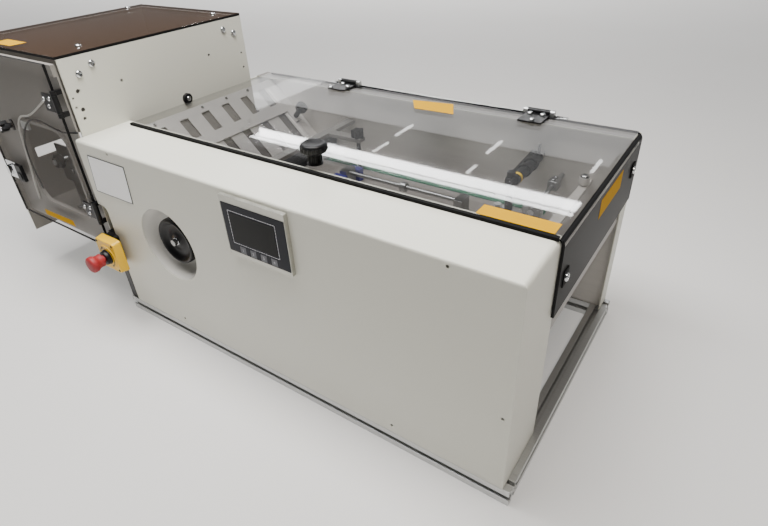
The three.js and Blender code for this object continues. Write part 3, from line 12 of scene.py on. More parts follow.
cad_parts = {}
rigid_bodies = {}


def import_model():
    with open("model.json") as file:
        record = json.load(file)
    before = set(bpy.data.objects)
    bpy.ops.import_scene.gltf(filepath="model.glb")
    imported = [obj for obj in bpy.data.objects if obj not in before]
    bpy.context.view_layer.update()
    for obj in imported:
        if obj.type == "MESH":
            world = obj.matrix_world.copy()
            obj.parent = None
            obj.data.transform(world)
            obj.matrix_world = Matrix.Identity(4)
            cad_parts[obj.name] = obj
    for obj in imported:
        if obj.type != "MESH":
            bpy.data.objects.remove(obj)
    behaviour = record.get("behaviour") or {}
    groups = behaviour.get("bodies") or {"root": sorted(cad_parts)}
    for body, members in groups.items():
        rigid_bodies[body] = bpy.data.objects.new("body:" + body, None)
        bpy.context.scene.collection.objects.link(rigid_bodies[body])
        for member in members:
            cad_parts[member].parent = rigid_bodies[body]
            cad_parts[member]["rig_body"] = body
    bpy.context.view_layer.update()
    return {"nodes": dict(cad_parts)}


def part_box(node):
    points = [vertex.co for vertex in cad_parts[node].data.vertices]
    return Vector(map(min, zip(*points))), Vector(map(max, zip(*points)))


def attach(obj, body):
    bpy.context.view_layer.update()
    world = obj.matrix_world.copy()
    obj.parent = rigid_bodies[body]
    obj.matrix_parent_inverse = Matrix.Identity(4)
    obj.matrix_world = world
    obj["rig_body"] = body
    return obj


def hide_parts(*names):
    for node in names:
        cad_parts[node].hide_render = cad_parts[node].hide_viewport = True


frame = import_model()


# Camera and room
# The photograph's view: a phone held above the infeed end on the operator's side. The lens and the small
# shift come from a fit of the machine's edges to the photograph. The floor is a pale, matt painted one.
camera = bpy.data.objects.new("camera", bpy.data.cameras.new("camera"))
bpy.context.scene.collection.objects.link(camera)
bpy.context.scene.camera = camera
camera.location = (0.73074, -0.65497, 0.71724)
camera.rotation_euler = [math.radians(angle) for angle in (57.0252, 2.5085, 34.2143)]
camera.data.sensor_width = 36
camera.data.lens = 25.69
camera.data.shift_x = 0.0025
camera.data.shift_y = -0.0169
camera.data.clip_start = 0.02


def linear(hex_colour):
    """sRGB hex to the linear colour that shaders take."""
    shares = [int(hex_colour[i:i + 2], 16) / 255 for i in (0, 2, 4)]
    return [s / 12.92 if s <= 0.04045 else ((s + 0.055) / 1.055) ** 2.4 for s in shares] + [1]


def add_node(tree, kind, inputs=None, **settings):
    """A shader node with its settings; an input is a value or another node's output."""
    made = tree.nodes.new("ShaderNode" + kind)
    for name, value in settings.items():
        setattr(made, name, value)
    for name, value in (inputs or {}).items():
        if isinstance(value, bpy.types.NodeSocket):
            tree.links.new(value, made.inputs[name])
        else:
            made.inputs[name].default_value = value
    return made


def new_material(name, **shader_inputs):
    """A material with one Principled shader; returns it with its node tree and shader."""
    material = bpy.data.materials.new(name)
    material.use_nodes = True
    tree = material.node_tree
    shader = tree.nodes["Principled BSDF"]
    for key, value in shader_inputs.items():
        shader.inputs[key.replace("_", " ")].default_value = value
    return material, tree, shader


# Die lines, brushing, rolling and grinding marks and the grain of moulded skins are finer on the real thing
# than a render can show, so they are drawn 0.5 to 5 mm apart, coarser than real ones.
def mottle(tree, shader, dark, light, grain, detail=2, rough=None):
    """Lets a cloudy pattern drift the colour, and the roughness where its range is given.

    grain is the pattern's size in millimetres, or its three sizes on a drawn or brushed surface. Returns
    the piece's own coordinates and the pattern's value.
    """
    where = place = add_node(tree, "TexCoord").outputs["Object"]
    scale = 1
    if isinstance(grain, tuple):
        stretch = {"Vector": where, "Scale": [1000 / size for size in grain]}
        place = add_node(tree, "Mapping", stretch).outputs["Vector"]
    else:
        scale = 1000 / grain
    noise = add_node(tree, "TexNoise", {"Vector": place, "Scale": scale, "Detail": detail})
    value = noise.outputs["Fac"]
    ends = {"Factor": value, "A": linear(dark), "B": linear(light)}
    blend = add_node(tree, "Mix", ends, data_type="RGBA")
    tree.links.new(blend.outputs["Result"], shader.inputs["Base Color"])
    if rough:
        gloss = add_node(tree, "MapRange", {"Value": value, "To Min": rough[0], "To Max": rough[1]})
        tree.links.new(gloss.outputs["Result"], shader.inputs["Roughness"])
    return where, value


# Matt floor paint: a faint cloud keeps it from one flat tone, and a faint glow keeps it pale far away.
floor_paint, tree, shader = new_material("floor_paint", Roughness=0.85, Emission_Color=linear("f4f5f6"),
                                         Emission_Strength=0.24)
mottle(tree, shader, "c6c4c0", "ceccca", grain=667)
floor = bmesh.new()
bmesh.ops.create_grid(floor, x_segments=1, y_segments=1, size=14)
floor_mesh = bpy.data.meshes.new("floor")
floor.to_mesh(floor_mesh)
floor.free()
floor_object = bpy.data.objects.new("floor", floor_mesh)
bpy.context.scene.collection.objects.link(floor_object)
floor_mesh.materials.append(floor_paint)

# The room is palest at the horizon, where it meets the floor, and dim above.
world = bpy.data.worlds.new("studio")
bpy.context.scene.world = world
world.use_nodes = True
sky = world.node_tree.nodes["Background"]
sky.inputs["Color"].default_value = linear("f4f5f6")
way = add_node(world.node_tree, "TexCoord").outputs["Generated"]
height = add_node(world.node_tree, "SeparateXYZ", {"Vector": way}).outputs["Z"]
horizon = {"Value": height, "From Min": 0.0, "From Max": 0.24, "To Min": 0.34, "To Max": 0.08}
fade = add_node(world.node_tree, "MapRange", horizon, interpolation_type="SMOOTHSTEP")
world.node_tree.links.new(fade.outputs["Result"], sky.inputs["Strength"])


def area_light(name, place, target, size, power, colour="ffffff"):
    """A rectangular lamp at a place in metres, turned to face its target."""
    lamp = bpy.data.lights.new(name, "AREA")
    lamp.shape = "RECTANGLE"
    lamp.size, lamp.size_y = size
    lamp.energy = power
    lamp.color = linear(colour)[:3]
    holder = bpy.data.objects.new(name, lamp)
    holder.location = place
    holder.rotation_euler = (Vector(target) - Vector(place)).to_track_quat("-Z", "Y").to_euler()
    bpy.context.scene.collection.objects.link(holder)


area_light("soft_overhead", (-0.15, -0.14, 1.8), (-0.15, -0.14, 0.3), (1.5, 0.6), 56)
area_light("soft_front", (-0.3, -0.85, 2.3), (-0.2, -0.2, 0.3), (0.7, 0.4), 8)
area_light("soft_right", (1.1, -0.3, 2.6), (-0.3, 0, 0.4), (1.0, 1.0), 40, "fff6ea")


def ceiling_light(name, span_x, span_y, height, radiance):
    """A lamp over a rectangle of the ceiling, in metres, that faces straight down."""
    width, depth = span_x[1] - span_x[0], span_y[1] - span_y[0]
    place = Vector((sum(span_x) / 2, sum(span_y) / 2, height))
    area_light(name, place, place - Vector((0, 0, 1)), (width, depth), radiance * math.pi * width * depth)


# Ceiling tubes behind the machine show as the white band and the dashes in the lid, and the lit fields of
# the ceiling round them as its pale veil.
tube_height, field_height = 2.6763, 2.9
for tube in (
    ("tube_long", (-5.6106, -0.3606), (4.13165, 4.35165), tube_height, 34),
    ("tube_long_edge", (-5.3106, -0.3606), (4.04165, 4.10165), tube_height, 30),
    ("tube_cross_1", (-3.0106, -2.9706), (4.41165, 4.75165), tube_height, 14),
    ("tube_cross_2", (-3.0606, -3.0206), (4.99165, 5.42165), tube_height, 14),
    ("tube_cross_3", (-1.7406, -1.7006), (4.41165, 4.66165), tube_height, 14),
    ("tube_cross_4", (-1.7806, -1.7406), (5.01165, 5.45165), tube_height, 14),
    ("tube_cross_5", (-0.5706, -0.5306), (5.07165, 5.46165), tube_height, 12),
    ("ceiling_rear", (-6.7, 1.9), (5.8, 10.0), field_height, 2.3),
    ("ceiling_middle", (-6.7, 1.9), (4.25, 5.75), field_height, 0.6),
    ("ceiling_left", (-8.7, -6.1), (1.5, 8.5), field_height + 0.05, 3.4),
):
    ceiling_light(*tube)


# Base frame
# Four lengths of slotted aluminium profile, extruded, anodised in natural silver and sawn to length. The
# covers and side frames stand on it, and the corners are joined inside the slots.
front_low, front_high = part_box("front_cover")
origin = Vector((front_high.x, front_low.y, front_high.z))


def finish_mesh(mesh, name, materials, body, stands_for=(), edge=0.0, smooth=35):
    """Makes a mesh in metres a piece on a body; edge is its bevel in millimetres, smooth an angle."""
    for material in materials:
        mesh.materials.append(material)
    mesh.shade_smooth()
    mesh.set_sharp_from_angle(angle=math.radians(smooth))
    # Faces above this area, in square metres, are flat sheet and are shaded flat.
    largest_rounded = 0.003
    for face in mesh.polygons:
        face.use_smooth = face.area < largest_rounded
    piece = bpy.data.objects.new(name, mesh)
    bpy.context.scene.collection.objects.link(piece)
    if edge:
        bevel = piece.modifiers.new("edges", "BEVEL")
        bevel.width = edge / 1000
        bevel.segments = 2
        bevel.limit_method = "ANGLE"
        bevel.angle_limit = math.radians(smooth)
        bevel.harden_normals = True
    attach(piece, body)
    if stands_for:
        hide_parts(*stands_for)


def dress(node, material, edge=0.6, smooth=35, others=(), split_y=None):
    """The node's own shape with softened edges; others lists (material, test) for faces that differ.

    split_y is a plane, in machine millimetres, that parts faces so that a test can tell them apart.
    """
    merge_distance, flat_angle = 2e-6, math.radians(0.4)
    bm = bmesh.new()
    bm.from_mesh(frame["nodes"][node].data)
    bmesh.ops.remove_doubles(bm, verts=bm.verts, dist=merge_distance)
    bmesh.ops.dissolve_limit(bm, angle_limit=flat_angle, verts=bm.verts, edges=bm.edges)
    if split_y is not None:
        bmesh.ops.bisect_plane(bm, geom=bm.verts[:] + bm.edges[:] + bm.faces[:],
                               plane_co=origin + Vector((0, split_y / 1000, 0)), plane_no=(0, 1, 0))
    for face in bm.faces:
        for i, (_, test) in enumerate(others):
            if test(face.normal, (face.calc_center_median() - origin) * 1000):
                face.material_index = i + 1
    mesh = bpy.data.meshes.new(node + "_finished")
    bm.to_mesh(mesh)
    bm.free()
    body = frame["nodes"][node]["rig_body"]
    materials = [material] + [other for other, _ in others]
    finish_mesh(mesh, node + "_finished", materials, body, [node], edge, smooth)


# Extruded, anodised aluminium: satin, with fine die lines along the machine's length.
anodised, tree, shader = new_material("anodised_aluminium", Metallic=1.0)
mottle(tree, shader, "b4b5b5", "cfd0cf", grain=(83.3, 2, 2), detail=3, rough=(0.3, 0.48))
for rail in ("front", "rear", "left", "right"):
    dress("base_rail_" + rail, anodised, 0.5)


# Side frames
# Two machined plates with lightening windows and bearing bosses, zinc plated to a matt light grey. They
# stand on the base frame and carry every shaft.

# Matt zinc plate: dull light grey with a faint rolled grain, half metal and half oxide.
matt_zinc, tree, shader = new_material("matt_zinc_plate", Metallic=0.35)
mottle(tree, shader, "c6c2bc", "d6d2cc", grain=(125, 33.3, 5), detail=4, rough=(0.42, 0.6))
for plate in ("front", "rear"):
    dress("side_frame_" + plate, matt_zinc, 0.5)


# Covers
# Folded sheet steel with welded corners, powder coated in a warm off-white and screwed to the base frame.
# Grey foam tape lies on the rear cover's flange, where the lid rests.


def raise_grain(tree, shader, where, grain, strength, depth, detail=2):
    """Gives a surface a fine relief; grain and depth are in millimetres."""
    noise = add_node(tree, "TexNoise", {"Vector": where, "Scale": 1000 / grain, "Detail": detail})
    relief = {"Height": noise.outputs["Fac"], "Strength": strength, "Distance": depth / 1000}
    tree.links.new(add_node(tree, "Bump", relief).outputs["Normal"], shader.inputs["Normal"])


# Powder coat: a fine orange peel softens its reflections, and it is a little glossier than matt.
orange_peel, peel_depth = 1.11, 0.4
powder_coat, tree, shader = new_material("powder_coat", Roughness=0.42)
where, _ = mottle(tree, shader, "d6d5c9", "dddcd0", grain=333)
raise_grain(tree, shader, where, orange_peel, 0.12, peel_depth)

# Foam tape: open cells make it quite matt and slightly speckled.
foam_cell = 1.43
foam_tape, tree, shader = new_material("grey_foam_tape", Roughness=0.9)
where, _ = mottle(tree, shader, "6f6c69", "8a8784", grain=foam_cell)
raise_grain(tree, shader, where, foam_cell, 0.2, 0.4)


def top_flange(normal, middle):
    """The upward faces of the rear cover's top, within 4 mm of the deck."""
    return normal.z > 0.9 and middle.z > -4


dress("front_cover", powder_coat, 0.5)
dress("rear_cover", powder_coat, 0.5, others=[(foam_tape, top_flange)])


# Name plate
# A thin printed aluminium plate glued to the front cover, cut a little askew. It is left bare but for the
# dark line that runs round its edge.


def extent(node):
    """A CAD node's lowest and highest corners in machine millimetres."""
    return [(corner - origin) * 1000 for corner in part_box(node)]


def middle_of(node):
    """The middle of a CAD node's box in machine millimetres."""
    low, high = extent(node)
    return (low + high) / 2


def finish_piece(bm, name, materials, body, stands_for=(), edge=0.0, smooth=35,
                 local=Matrix.Identity(4)):
    """Turns a bmesh in machine millimetres, or in a local frame's, into a piece that rides on a body."""
    to_metres = Matrix.Translation(origin) @ Matrix.Scale(0.001, 4)
    bmesh.ops.transform(bm, matrix=to_metres @ local, verts=bm.verts)
    mesh = bpy.data.meshes.new(name)
    bm.to_mesh(mesh)
    bm.free()
    finish_mesh(mesh, name, materials, body, stands_for, edge, smooth)


def thicken(bm, shift):
    """Extrudes an open sheet by a shift, which closes it, and turns its faces outwards."""
    made = bmesh.ops.extrude_face_region(bm, geom=bm.faces[:])["geom"]
    bmesh.ops.translate(bm, vec=shift, verts=[v for v in made if isinstance(v, bmesh.types.BMVert)])
    bmesh.ops.recalc_face_normals(bm, faces=bm.faces)


# White printed lacquer: clean and half glossy. The border's ink is flat dark grey.
plate_white, tree, shader = new_material("printed_plate_white", Roughness=0.35)
mottle(tree, shader, "f7f7f6", "fdfdfd", grain=25)
border_ink, tree, shader = new_material("border_ink", Roughness=0.5)
shader.inputs["Base Color"].default_value = linear("3a3d40")

plate_corners = [(-713, -95), (-706, -23), (-814, -23), (-824, -96)]
plate_back, plate_thickness, border_width = -0.1, 0.8, 1.4
bm = bmesh.new()
face = bm.faces.new([bm.verts.new((x, plate_back, z)) for x, z in plate_corners])
face.normal_update()
if face.normal.y > 0:
    face.normal_flip()
rim = bmesh.ops.inset_region(bm, faces=[face], thickness=border_width, use_boundary=True,
                             use_even_offset=True)["faces"]
for side in rim:
    side.material_index = 1
thicken(bm, (0, -plate_thickness, 0))
finish_piece(bm, "name_plate", [plate_white, border_ink], "machine")


# Hand wheel and its recess
# A spun sheet bowl, coated like the cover, holds a moulded black wheel with a dished face. The wheel is
# keyed to the feed roller's shaft and held by a plated bolt and washer.

# The bowl's coat is glossier than the cover's, so that it catches a soft highlight low inside.
bowl_coat, tree, shader = new_material("bowl_powder_coat", Roughness=0.16)
where, _ = mottle(tree, shader, "dedcd6", "e6e4de", grain=83.3)
raise_grain(tree, shader, where, 1.43, 0.06, peel_depth, detail=1)

# Moulded black nylon: nearly black, with a spark eroded skin that dulls its highlights.
mould_grain, mould_depth = 0.556, 0.2
black_nylon, tree, shader = new_material("moulded_black_nylon", Specular_IOR_Level=0.3)
where, _ = mottle(tree, shader, "070708", "101012", grain=16.7, detail=3, rough=(0.34, 0.5))
raise_grain(tree, shader, where, mould_grain, 0.1, mould_depth, detail=1)

# Bright zinc plate: mirror-like screws with a little wear.
bright_zinc, tree, shader = new_material("bright_zinc_plate", Metallic=1.0)
mottle(tree, shader, "b9bbbd", "e2e3e4", grain=4, detail=3, rough=(0.14, 0.3))

turn_to = {
    "x": Matrix.Rotation(math.pi / 2, 4, "Y"),
    "-x": Matrix.Rotation(-math.pi / 2, 4, "Y"),
    "y": Matrix.Rotation(-math.pi / 2, 4, "X"),
    "-y": Matrix.Rotation(math.pi / 2, 4, "X"),
    "z": Matrix.Identity(4),
}


def turned(bm, profile, place, axis="z", sides=48, material=0):
    """Spins a profile of (radius, height) round its axis; the ends close on the axis or on each other."""
    closed = profile[0] == profile[-1]
    points = profile[:-1] if closed else profile
    verts = [bm.verts.new((radius, 0, height)) for radius, height in points]
    edges = [bm.edges.new(pair) for pair in zip(verts, verts[1:])]
    if closed:
        edges.append(bm.edges.new((verts[-1], verts[0])))
    bmesh.ops.spin(bm, geom=verts + edges, axis=(0, 0, 1), cent=(0, 0, 0), steps=sides,
                   angle=2 * math.pi, use_merge=True)
    swept = list({v for f in bm.faces if not f.tag for v in f.verts})
    bmesh.ops.remove_doubles(bm, verts=swept, dist=1e-4)
    fresh = [f for f in bm.faces if not f.tag]
    bmesh.ops.recalc_face_normals(bm, faces=fresh)
    around = list({v for f in fresh for v in f.verts})
    bmesh.ops.transform(bm, matrix=Matrix.Translation(place) @ turn_to[axis], verts=around)
    for face in fresh:
        face.material_index = material
        face.tag = True


wheel = middle_of("handwheel")
wheel_axis = (wheel.x, 0, wheel.z)

# The bowl's side is a quarter of an ellipse from its mouth to its flat floor, with a flange round it.
mouth_y = extent("handwheel_bowl")[0].y
bowl_floor_radius, bowl_round, bowl_depth, bowl_sheet = 48, 22.2, 37.7, 1.8
flange_radius, shaft_hole = 79, 8.2
bowl_curve = []
for i in range(15):
    angle = math.pi / 2 * i / 14
    radius = bowl_floor_radius + bowl_round * math.cos(angle)
    bowl_curve.append((radius, mouth_y + bowl_depth * math.sin(angle)))
bowl_back = [(radius + 1.6, height + bowl_sheet) for radius, height in reversed(bowl_curve)]
hub = [(shaft_hole, mouth_y + bowl_depth), (shaft_hole, mouth_y + bowl_depth + bowl_sheet)]
flange = [(flange_radius, mouth_y + bowl_sheet), (flange_radius, mouth_y), bowl_curve[0]]
bm = bmesh.new()
turned(bm, bowl_curve + hub + bowl_back + flange, wheel_axis, "y", 72)
finish_piece(bm, "handwheel_bowl_finished", [bowl_coat], "machine", ["handwheel_bowl"],
             smooth=50)

# The wheel from its hub over the dished face and the grip's groove, round the rim and back to the hub.
wheel_profile = [
    (6.4, 17.0), (12.0, 17.0), (13.5, 18.0), (20.0, 20.6), (27.0, 21.4), (32.5, 19.6),
    (36.0, 15.4), (38.5, 13.0), (40.6, 12.3), (42.4, 13.0), (43.5, 14.8), (43.8, 17.5),
    (43.0, 18.6), (43.0, 20.2), (43.9, 21.2), (43.9, 29.5), (43.0, 32.2), (40.8, 33.8),
    (38.0, 34.0), (30.0, 31.0), (14.0, 31.0), (14.0, 37.9), (6.4, 37.9), (6.4, 17.0),
]
bm = bmesh.new()
turned(bm, wheel_profile, wheel_axis, "y", 96)
finish_piece(bm, "handwheel_finished", [black_nylon], "feed_roller", ["handwheel"],
             smooth=40)

washer = [(4.4, 17.0), (6.9, 17.0), (7.3, 16.5), (7.3, 16.0), (6.9, 15.5), (4.4, 15.5), (4.4, 17.0)]
hexagon_head = [(0, 10.4), (3.4, 10.4), (4.8, 11.0), (5.1, 12.0), (5.1, 15.4), (0, 15.4)]
bm = bmesh.new()
turned(bm, washer, wheel_axis, "y", 40)
turned(bm, hexagon_head, wheel_axis, "y", 6)
finish_piece(bm, "handwheel_bolt", [bright_zinc], "feed_roller", edge=0.25)


# Fold rollers, gears and motor
# Ground steel shafts with rubber covered bodies, and hobbed steel gears pressed on their front ends. A small
# geared motor drives the last roller through the largest gear.

# Ground black rubber: matt dark grey with faint grinding rings round the roller.
roller_rubber, tree, shader = new_material("ground_black_rubber", Roughness=0.62)
_, rings = mottle(tree, shader, "232325", "38383a", grain=(200, 1.43, 200), detail=3)
relief = {"Height": rings, "Strength": 0.15, "Distance": 0.0003}
tree.links.new(add_node(tree, "Bump", relief).outputs["Normal"], shader.inputs["Normal"])

# Ground steel: bright mid grey with fine grinding marks that break up its reflections.
ground_steel, tree, shader = new_material("ground_steel", Metallic=1.0)
mottle(tree, shader, "8c8d8e", "aeafae", grain=(33.3, 33.3, 1.11), detail=4, rough=(0.28, 0.5))


def beyond(start, end):
    """A test for the faces past a roller's rubber body, which are the bare steel of its shaft and gear."""
    def test(normal, middle):
        return middle.y < start - 0.5 or middle.y > end + 0.5
    return test


fold_body = (110, 458)
for number in range(1, 5):
    dress(f"fold_roller_{number}", roller_rubber, 0.3, others=[(ground_steel, beyond(*fold_body))])
dress("motor_gear", ground_steel, 0.2)

# Motor enamel: a plain mid grey, slightly glossy.
motor_paint, tree, shader = new_material("motor_grey_enamel", Roughness=0.38)
mottle(tree, shader, "5b5e61", "6b6e71", grain=33.3, detail=3)
dress("motor", motor_paint, 0.6)


# Bed, belt and pulleys
# A folded sheet steel bed with a grey satin finish. One woven green belt in a slot carries the sheets; it
# runs over flanged aluminium pulleys on through shafts.

# Grey bed sheet: satin, with faint brushing marks along the machine's length.
bed_finish, tree, shader = new_material("grey_bed_sheet", Metallic=0.4)
mottle(tree, shader, "918d89", "a4a09b", grain=(40, 1.67, 40), detail=4, rough=(0.4, 0.58))
dress("bed_plate", bed_finish, 0.4)

# Belt fabric: a matt green weave. Its threads are 1 mm apart, coarser than real ones, so that they show.
# A wave texture's bands lie a tenth of pi apart at a scale of 1.
band_spacing, thread = math.pi / 10, 0.98
belt_green, tree, shader = new_material("green_belt_fabric", Roughness=0.7)
where = add_node(tree, "TexCoord").outputs["Object"]
weave = {"Vector": where, "Scale": 1000 * band_spacing / thread, "Distortion": 0.4}
warp = add_node(tree, "TexWave", weave, bands_direction="X")
weft = add_node(tree, "TexWave", weave, bands_direction="Y")
cross = add_node(tree, "Math", {0: warp.outputs["Fac"], 1: weft.outputs["Fac"]}, operation="MULTIPLY")
ends = {"Factor": cross.outputs["Value"], "A": linear("1f5a43"), "B": linear("3f8a68")}
blend = add_node(tree, "Mix", ends, data_type="RGBA")
tree.links.new(blend.outputs["Result"], shader.inputs["Base Color"])
relief = {"Height": cross.outputs["Value"], "Strength": 0.3, "Distance": 0.0004}
tree.links.new(add_node(tree, "Bump", relief).outputs["Normal"], shader.inputs["Normal"])
dress("transport_belt", belt_green, 0.2)
for pulley in ("drive", "idler"):
    dress("belt_pulley_" + pulley, anodised, 0.2)


# Bed guides, infeed arm and sheet sensor
# A steel register rail and a side guide rod lie on the bed. The infeed arm is a zinc plated bar, and the
# sheet sensor a moulded barrel with a yellow ring that an arm holds over the belt.
for part in ("register_rail", "side_guide"):
    dress(part, ground_steel, 0.4)
dress("infeed_arm", matt_zinc, 0.4)

# Black ABS: a shade greyer than the nylon, and satin.
sensor_black, tree, shader = new_material("sensor_black_abs", Roughness=0.45)
mottle(tree, shader, "101011", "1d1d1f", grain=11.1)
dress("sensor_arm", sensor_black, 0.8)

# Light grey nylon: milky and satin.
light_grey_nylon, tree, shader = new_material("light_grey_nylon", Roughness=0.45)
mottle(tree, shader, "a9aba9", "c0c2c0", grain=8.33)

# Blue anodised aluminium: a deep violet blue with a metal's soft shine.
blue_anodised, tree, shader = new_material("blue_anodised_aluminium", Metallic=0.5, Roughness=0.4)
mottle(tree, shader, "3b3a86", "4f4fa6", grain=6.67)

# Yellow nylon ring: a clear, satin yellow.
ring_yellow, tree, shader = new_material("yellow_sensor_ring", Roughness=0.4)
mottle(tree, shader, "e8bd10", "f5d02a", grain=11.1)


def tag_faces(verts, material):
    """Gives the faces round some vertices their material, and marks them as done for turned."""
    for face in {f for v in verts for f in v.link_faces}:
        face.material_index = material
        face.tag = True


def round_bar(bm, place, radius, length, axis="z", sides=24, material=0):
    """A straight cylinder that starts at a place and runs along its axis."""
    matrix = Matrix.Translation(place) @ turn_to[axis] @ Matrix.Translation((0, 0, length / 2))
    verts = bmesh.ops.create_cone(bm, cap_ends=True, segments=sides, radius1=radius, radius2=radius,
                                  depth=length, matrix=matrix)["verts"]
    tag_faces(verts, material)


sensor_x, sensor_z = -150, -58
bm = bmesh.new()
turned(bm, [(0, 0), (4.5, 0), (4.5, 18), (9, 18), (9, 25)], (sensor_x, 316, sensor_z), "y", 32)
turned(bm, [(9, 0), (9.4, 0), (9.4, 6), (9, 6), (9, 0)], (sensor_x, 341, sensor_z), "y", 32, 1)
barrel = [(0, 0), (9, 0), (9, 28), (11.5, 28), (11.5, 38), (9, 38),
          (9, 56), (12, 56), (12, 66), (9, 66), (9, 92), (0, 92)]
turned(bm, barrel, (sensor_x, 347, sensor_z), "y", 32)
turned(bm, [(0, 0), (8.6, 0), (8.6, 8), (6.5, 10), (0, 10)], (sensor_x, 439, sensor_z), "y", 32, 2)
round_bar(bm, (sensor_x, 440, sensor_z), 2.6, 24, "z", 16)
finish_piece(bm, "sheet_sensor", [sensor_black, ring_yellow, bright_zinc], "machine")


# Hold-down and stops on the bed
# A steel rod clamped to the rear side frame holds a light nylon disc over the sheets. Nylon rollers guide
# them beside the belt, and two blue blocks hold the photocells.


def block(bm, x, y, z, material=0):
    """A block between low and high values on each axis."""
    middle = Vector([(span[0] + span[1]) / 2 for span in (x, y, z)])
    size = [span[1] - span[0] for span in (x, y, z)]
    matrix = Matrix.Translation(middle) @ Matrix.Diagonal(size + [1])
    tag_faces(bmesh.ops.create_cube(bm, size=1, matrix=matrix)["verts"], material)


def round_edges(bm, edges, width, segments=3):
    """Rounds some edges in the mesh itself."""
    bmesh.ops.bevel(bm, geom=list(edges), offset=width, offset_type="OFFSET", segments=segments, profile=0.5,
                    affect="EDGES", material=-1)


def socket_screw(bm, place, axis="z", radius=4.0, height=3.0):
    """A dome head screw with a hexagon socket, standing on a place."""
    socket = radius * 0.45
    profile = [(0, height * 0.35), (socket, height * 0.35), (socket, height), (radius * 0.62, height),
               (radius * 0.88, height * 0.72), (radius, height * 0.3), (radius, 0), (0, 0)]
    turned(bm, profile, place, axis, 24)


rod_x, clamp_top = -110, -83
bm = bmesh.new()
round_bar(bm, (rod_x, 352, -92), 4, 109.5, "y", 20)
block(bm, (rod_x - 9, rod_x + 9), (408, 430), (-100, clamp_top))
clamp_edges = [e for e in bm.edges if all(abs(v.co.x - rod_x) > 8.9 and v.co.z < -82 for v in e.verts)]
round_edges(bm, clamp_edges, 1.0, 2)
block(bm, (-128, -107), (352.5, 356.5), (-122, -86))
finish_piece(bm, "hold_down_clamp", [ground_steel], "machine", edge=0.3)
disc_x, disc_z = -123, -119
bm = bmesh.new()
for y in (413.5, 424.5):
    socket_screw(bm, (rod_x, y, clamp_top), "z", 4.0, 3.6)
socket_screw(bm, (-64, 431.7, -73), "z", 8.0, 4.5)
turned(bm, [(0, 0), (5.5, 0), (5.5, 2), (0, 2)], (disc_x, 350.5, disc_z), "y", 20)
finish_piece(bm, "hold_down_screws", [bright_zinc], "machine")
disc = [(3, 0), (17, 0), (17.6, 0.8), (17.6, 7.2), (17, 8), (9, 8), (8, 6.5), (3, 6.5), (3, 0)]
bm = bmesh.new()
turned(bm, disc, (disc_x, 357, disc_z), "y", 48)
finish_piece(bm, "hold_down_disc", [light_grey_nylon], "machine")

bed_top = extent("bed_plate")[1].z
guide_roller = [(0, 0), (6.5, 0), (6.5, 2), (5, 3), (5, 9), (6.5, 10), (6.5, 12), (0, 12)]
bm = bmesh.new()
for x, y in ((-189, 367), (-172, 363)):
    turned(bm, guide_roller, (x, y, bed_top + 0.1), "z", 24)
finish_piece(bm, "belt_side_guides", [light_grey_nylon], "machine")
bm = bmesh.new()
block(bm, (-500, -472), (288, 302), (bed_top + 0.2, -110))
block(bm, (-496, -470), (336, 350), (bed_top + 0.2, -112))
finish_piece(bm, "photocell_blocks", [blue_anodised], "machine", edge=0.8)


# Cross bar and its star knob
# A painted flat bar, screwed between the side frames, carries the hold-down for the sheets' trailing edge.
# A moulded knob with a threaded rod sets its gap.

# Bar paint: a flat, slightly warm mid grey.
bar_paint, tree, shader = new_material("bar_grey_paint", Roughness=0.5)
mottle(tree, shader, "6f6d6a", "7e7c78", grain=28.6, detail=3)
dress("cross_bar", bar_paint, 0.5)
dress("gap_knob", black_nylon, 0.8)


# Fold plates
# Two sheets of steel with a 3 mm channel between them. The top one is slotted so that the fold stop's
# fingers can reach in; it is screwed down, and a printed scale runs beside its windows.

# Satin stainless: light, brushed across the machine, so that its shine breaks into faint streaks.
satin_stainless, tree, shader = new_material("satin_stainless", Metallic=0.6)
mottle(tree, shader, "c6c3c0", "dbd8d5", grain=(2, 50, 2), detail=4, rough=(0.32, 0.5))
dress("fold_plate_top", satin_stainless, 0.3)

# Rolled steel for the plates below the top sheet: darker than the brushed top sheet, as painted shade in its
# windows, with blurred rolling marks.
fold_steel_painted_shade, tree, shader = new_material("rolled_steel_painted_shade", Metallic=0.5)
mottle(tree, shader, "5b5856", "77736f", grain=(25, 111, 25), detail=4, rough=(0.35, 0.55))
for part in ("fold_plate_base", "lower_fold_plate"):
    dress(part, fold_steel_painted_shade, 0.3)
dress("fold_stop", satin_stainless, 0.4)
dress("stop_knob", black_nylon, 0.8)


def pan_screw(bm, place, axis="z", radius=3.0, height=1.8):
    """A pan head screw with a recess, standing on a place."""
    profile = [(0, height * 0.55), (radius * 0.38, height * 0.55), (radius * 0.42, height),
               (radius * 0.72, height), (radius * 0.95, height * 0.62), (radius, height * 0.2),
               (radius, 0), (0, 0)]
    turned(bm, profile, place, axis, 20)


# On the slope's own frame, x runs down the plate from its top edge and z is its height above the sheet.
slope_frame = Matrix.Translation((-803, 0, -5)) @ Matrix.Rotation(math.radians(43), 4, "Y")
first_tick, tick_pitch, tick_half = 21, 5, 0.35
scale_edge = 438.5
bm = bmesh.new()
for i in range(29):
    along = first_tick + i * tick_pitch
    reach = 8 if i % 5 == 0 else 4.5
    block(bm, (along - tick_half, along + tick_half), (scale_edge - reach, scale_edge), (1.0, 1.15))
finish_piece(bm, "scale_ticks", [black_nylon], "machine", local=slope_frame)
bm = bmesh.new()
for y in (134, 250, 315, 377):
    pan_screw(bm, (7, y, 0), "z", 3.6, 2.2)
finish_piece(bm, "fold_plate_screws", [bright_zinc], "machine", local=slope_frame)


# Operator panel
# A die-cast bezel, brushed and lacquered, round a black glass front with a light line round the screen. The
# four keys under the screen are moulded in dark grey with light legends and travel a millimetre.

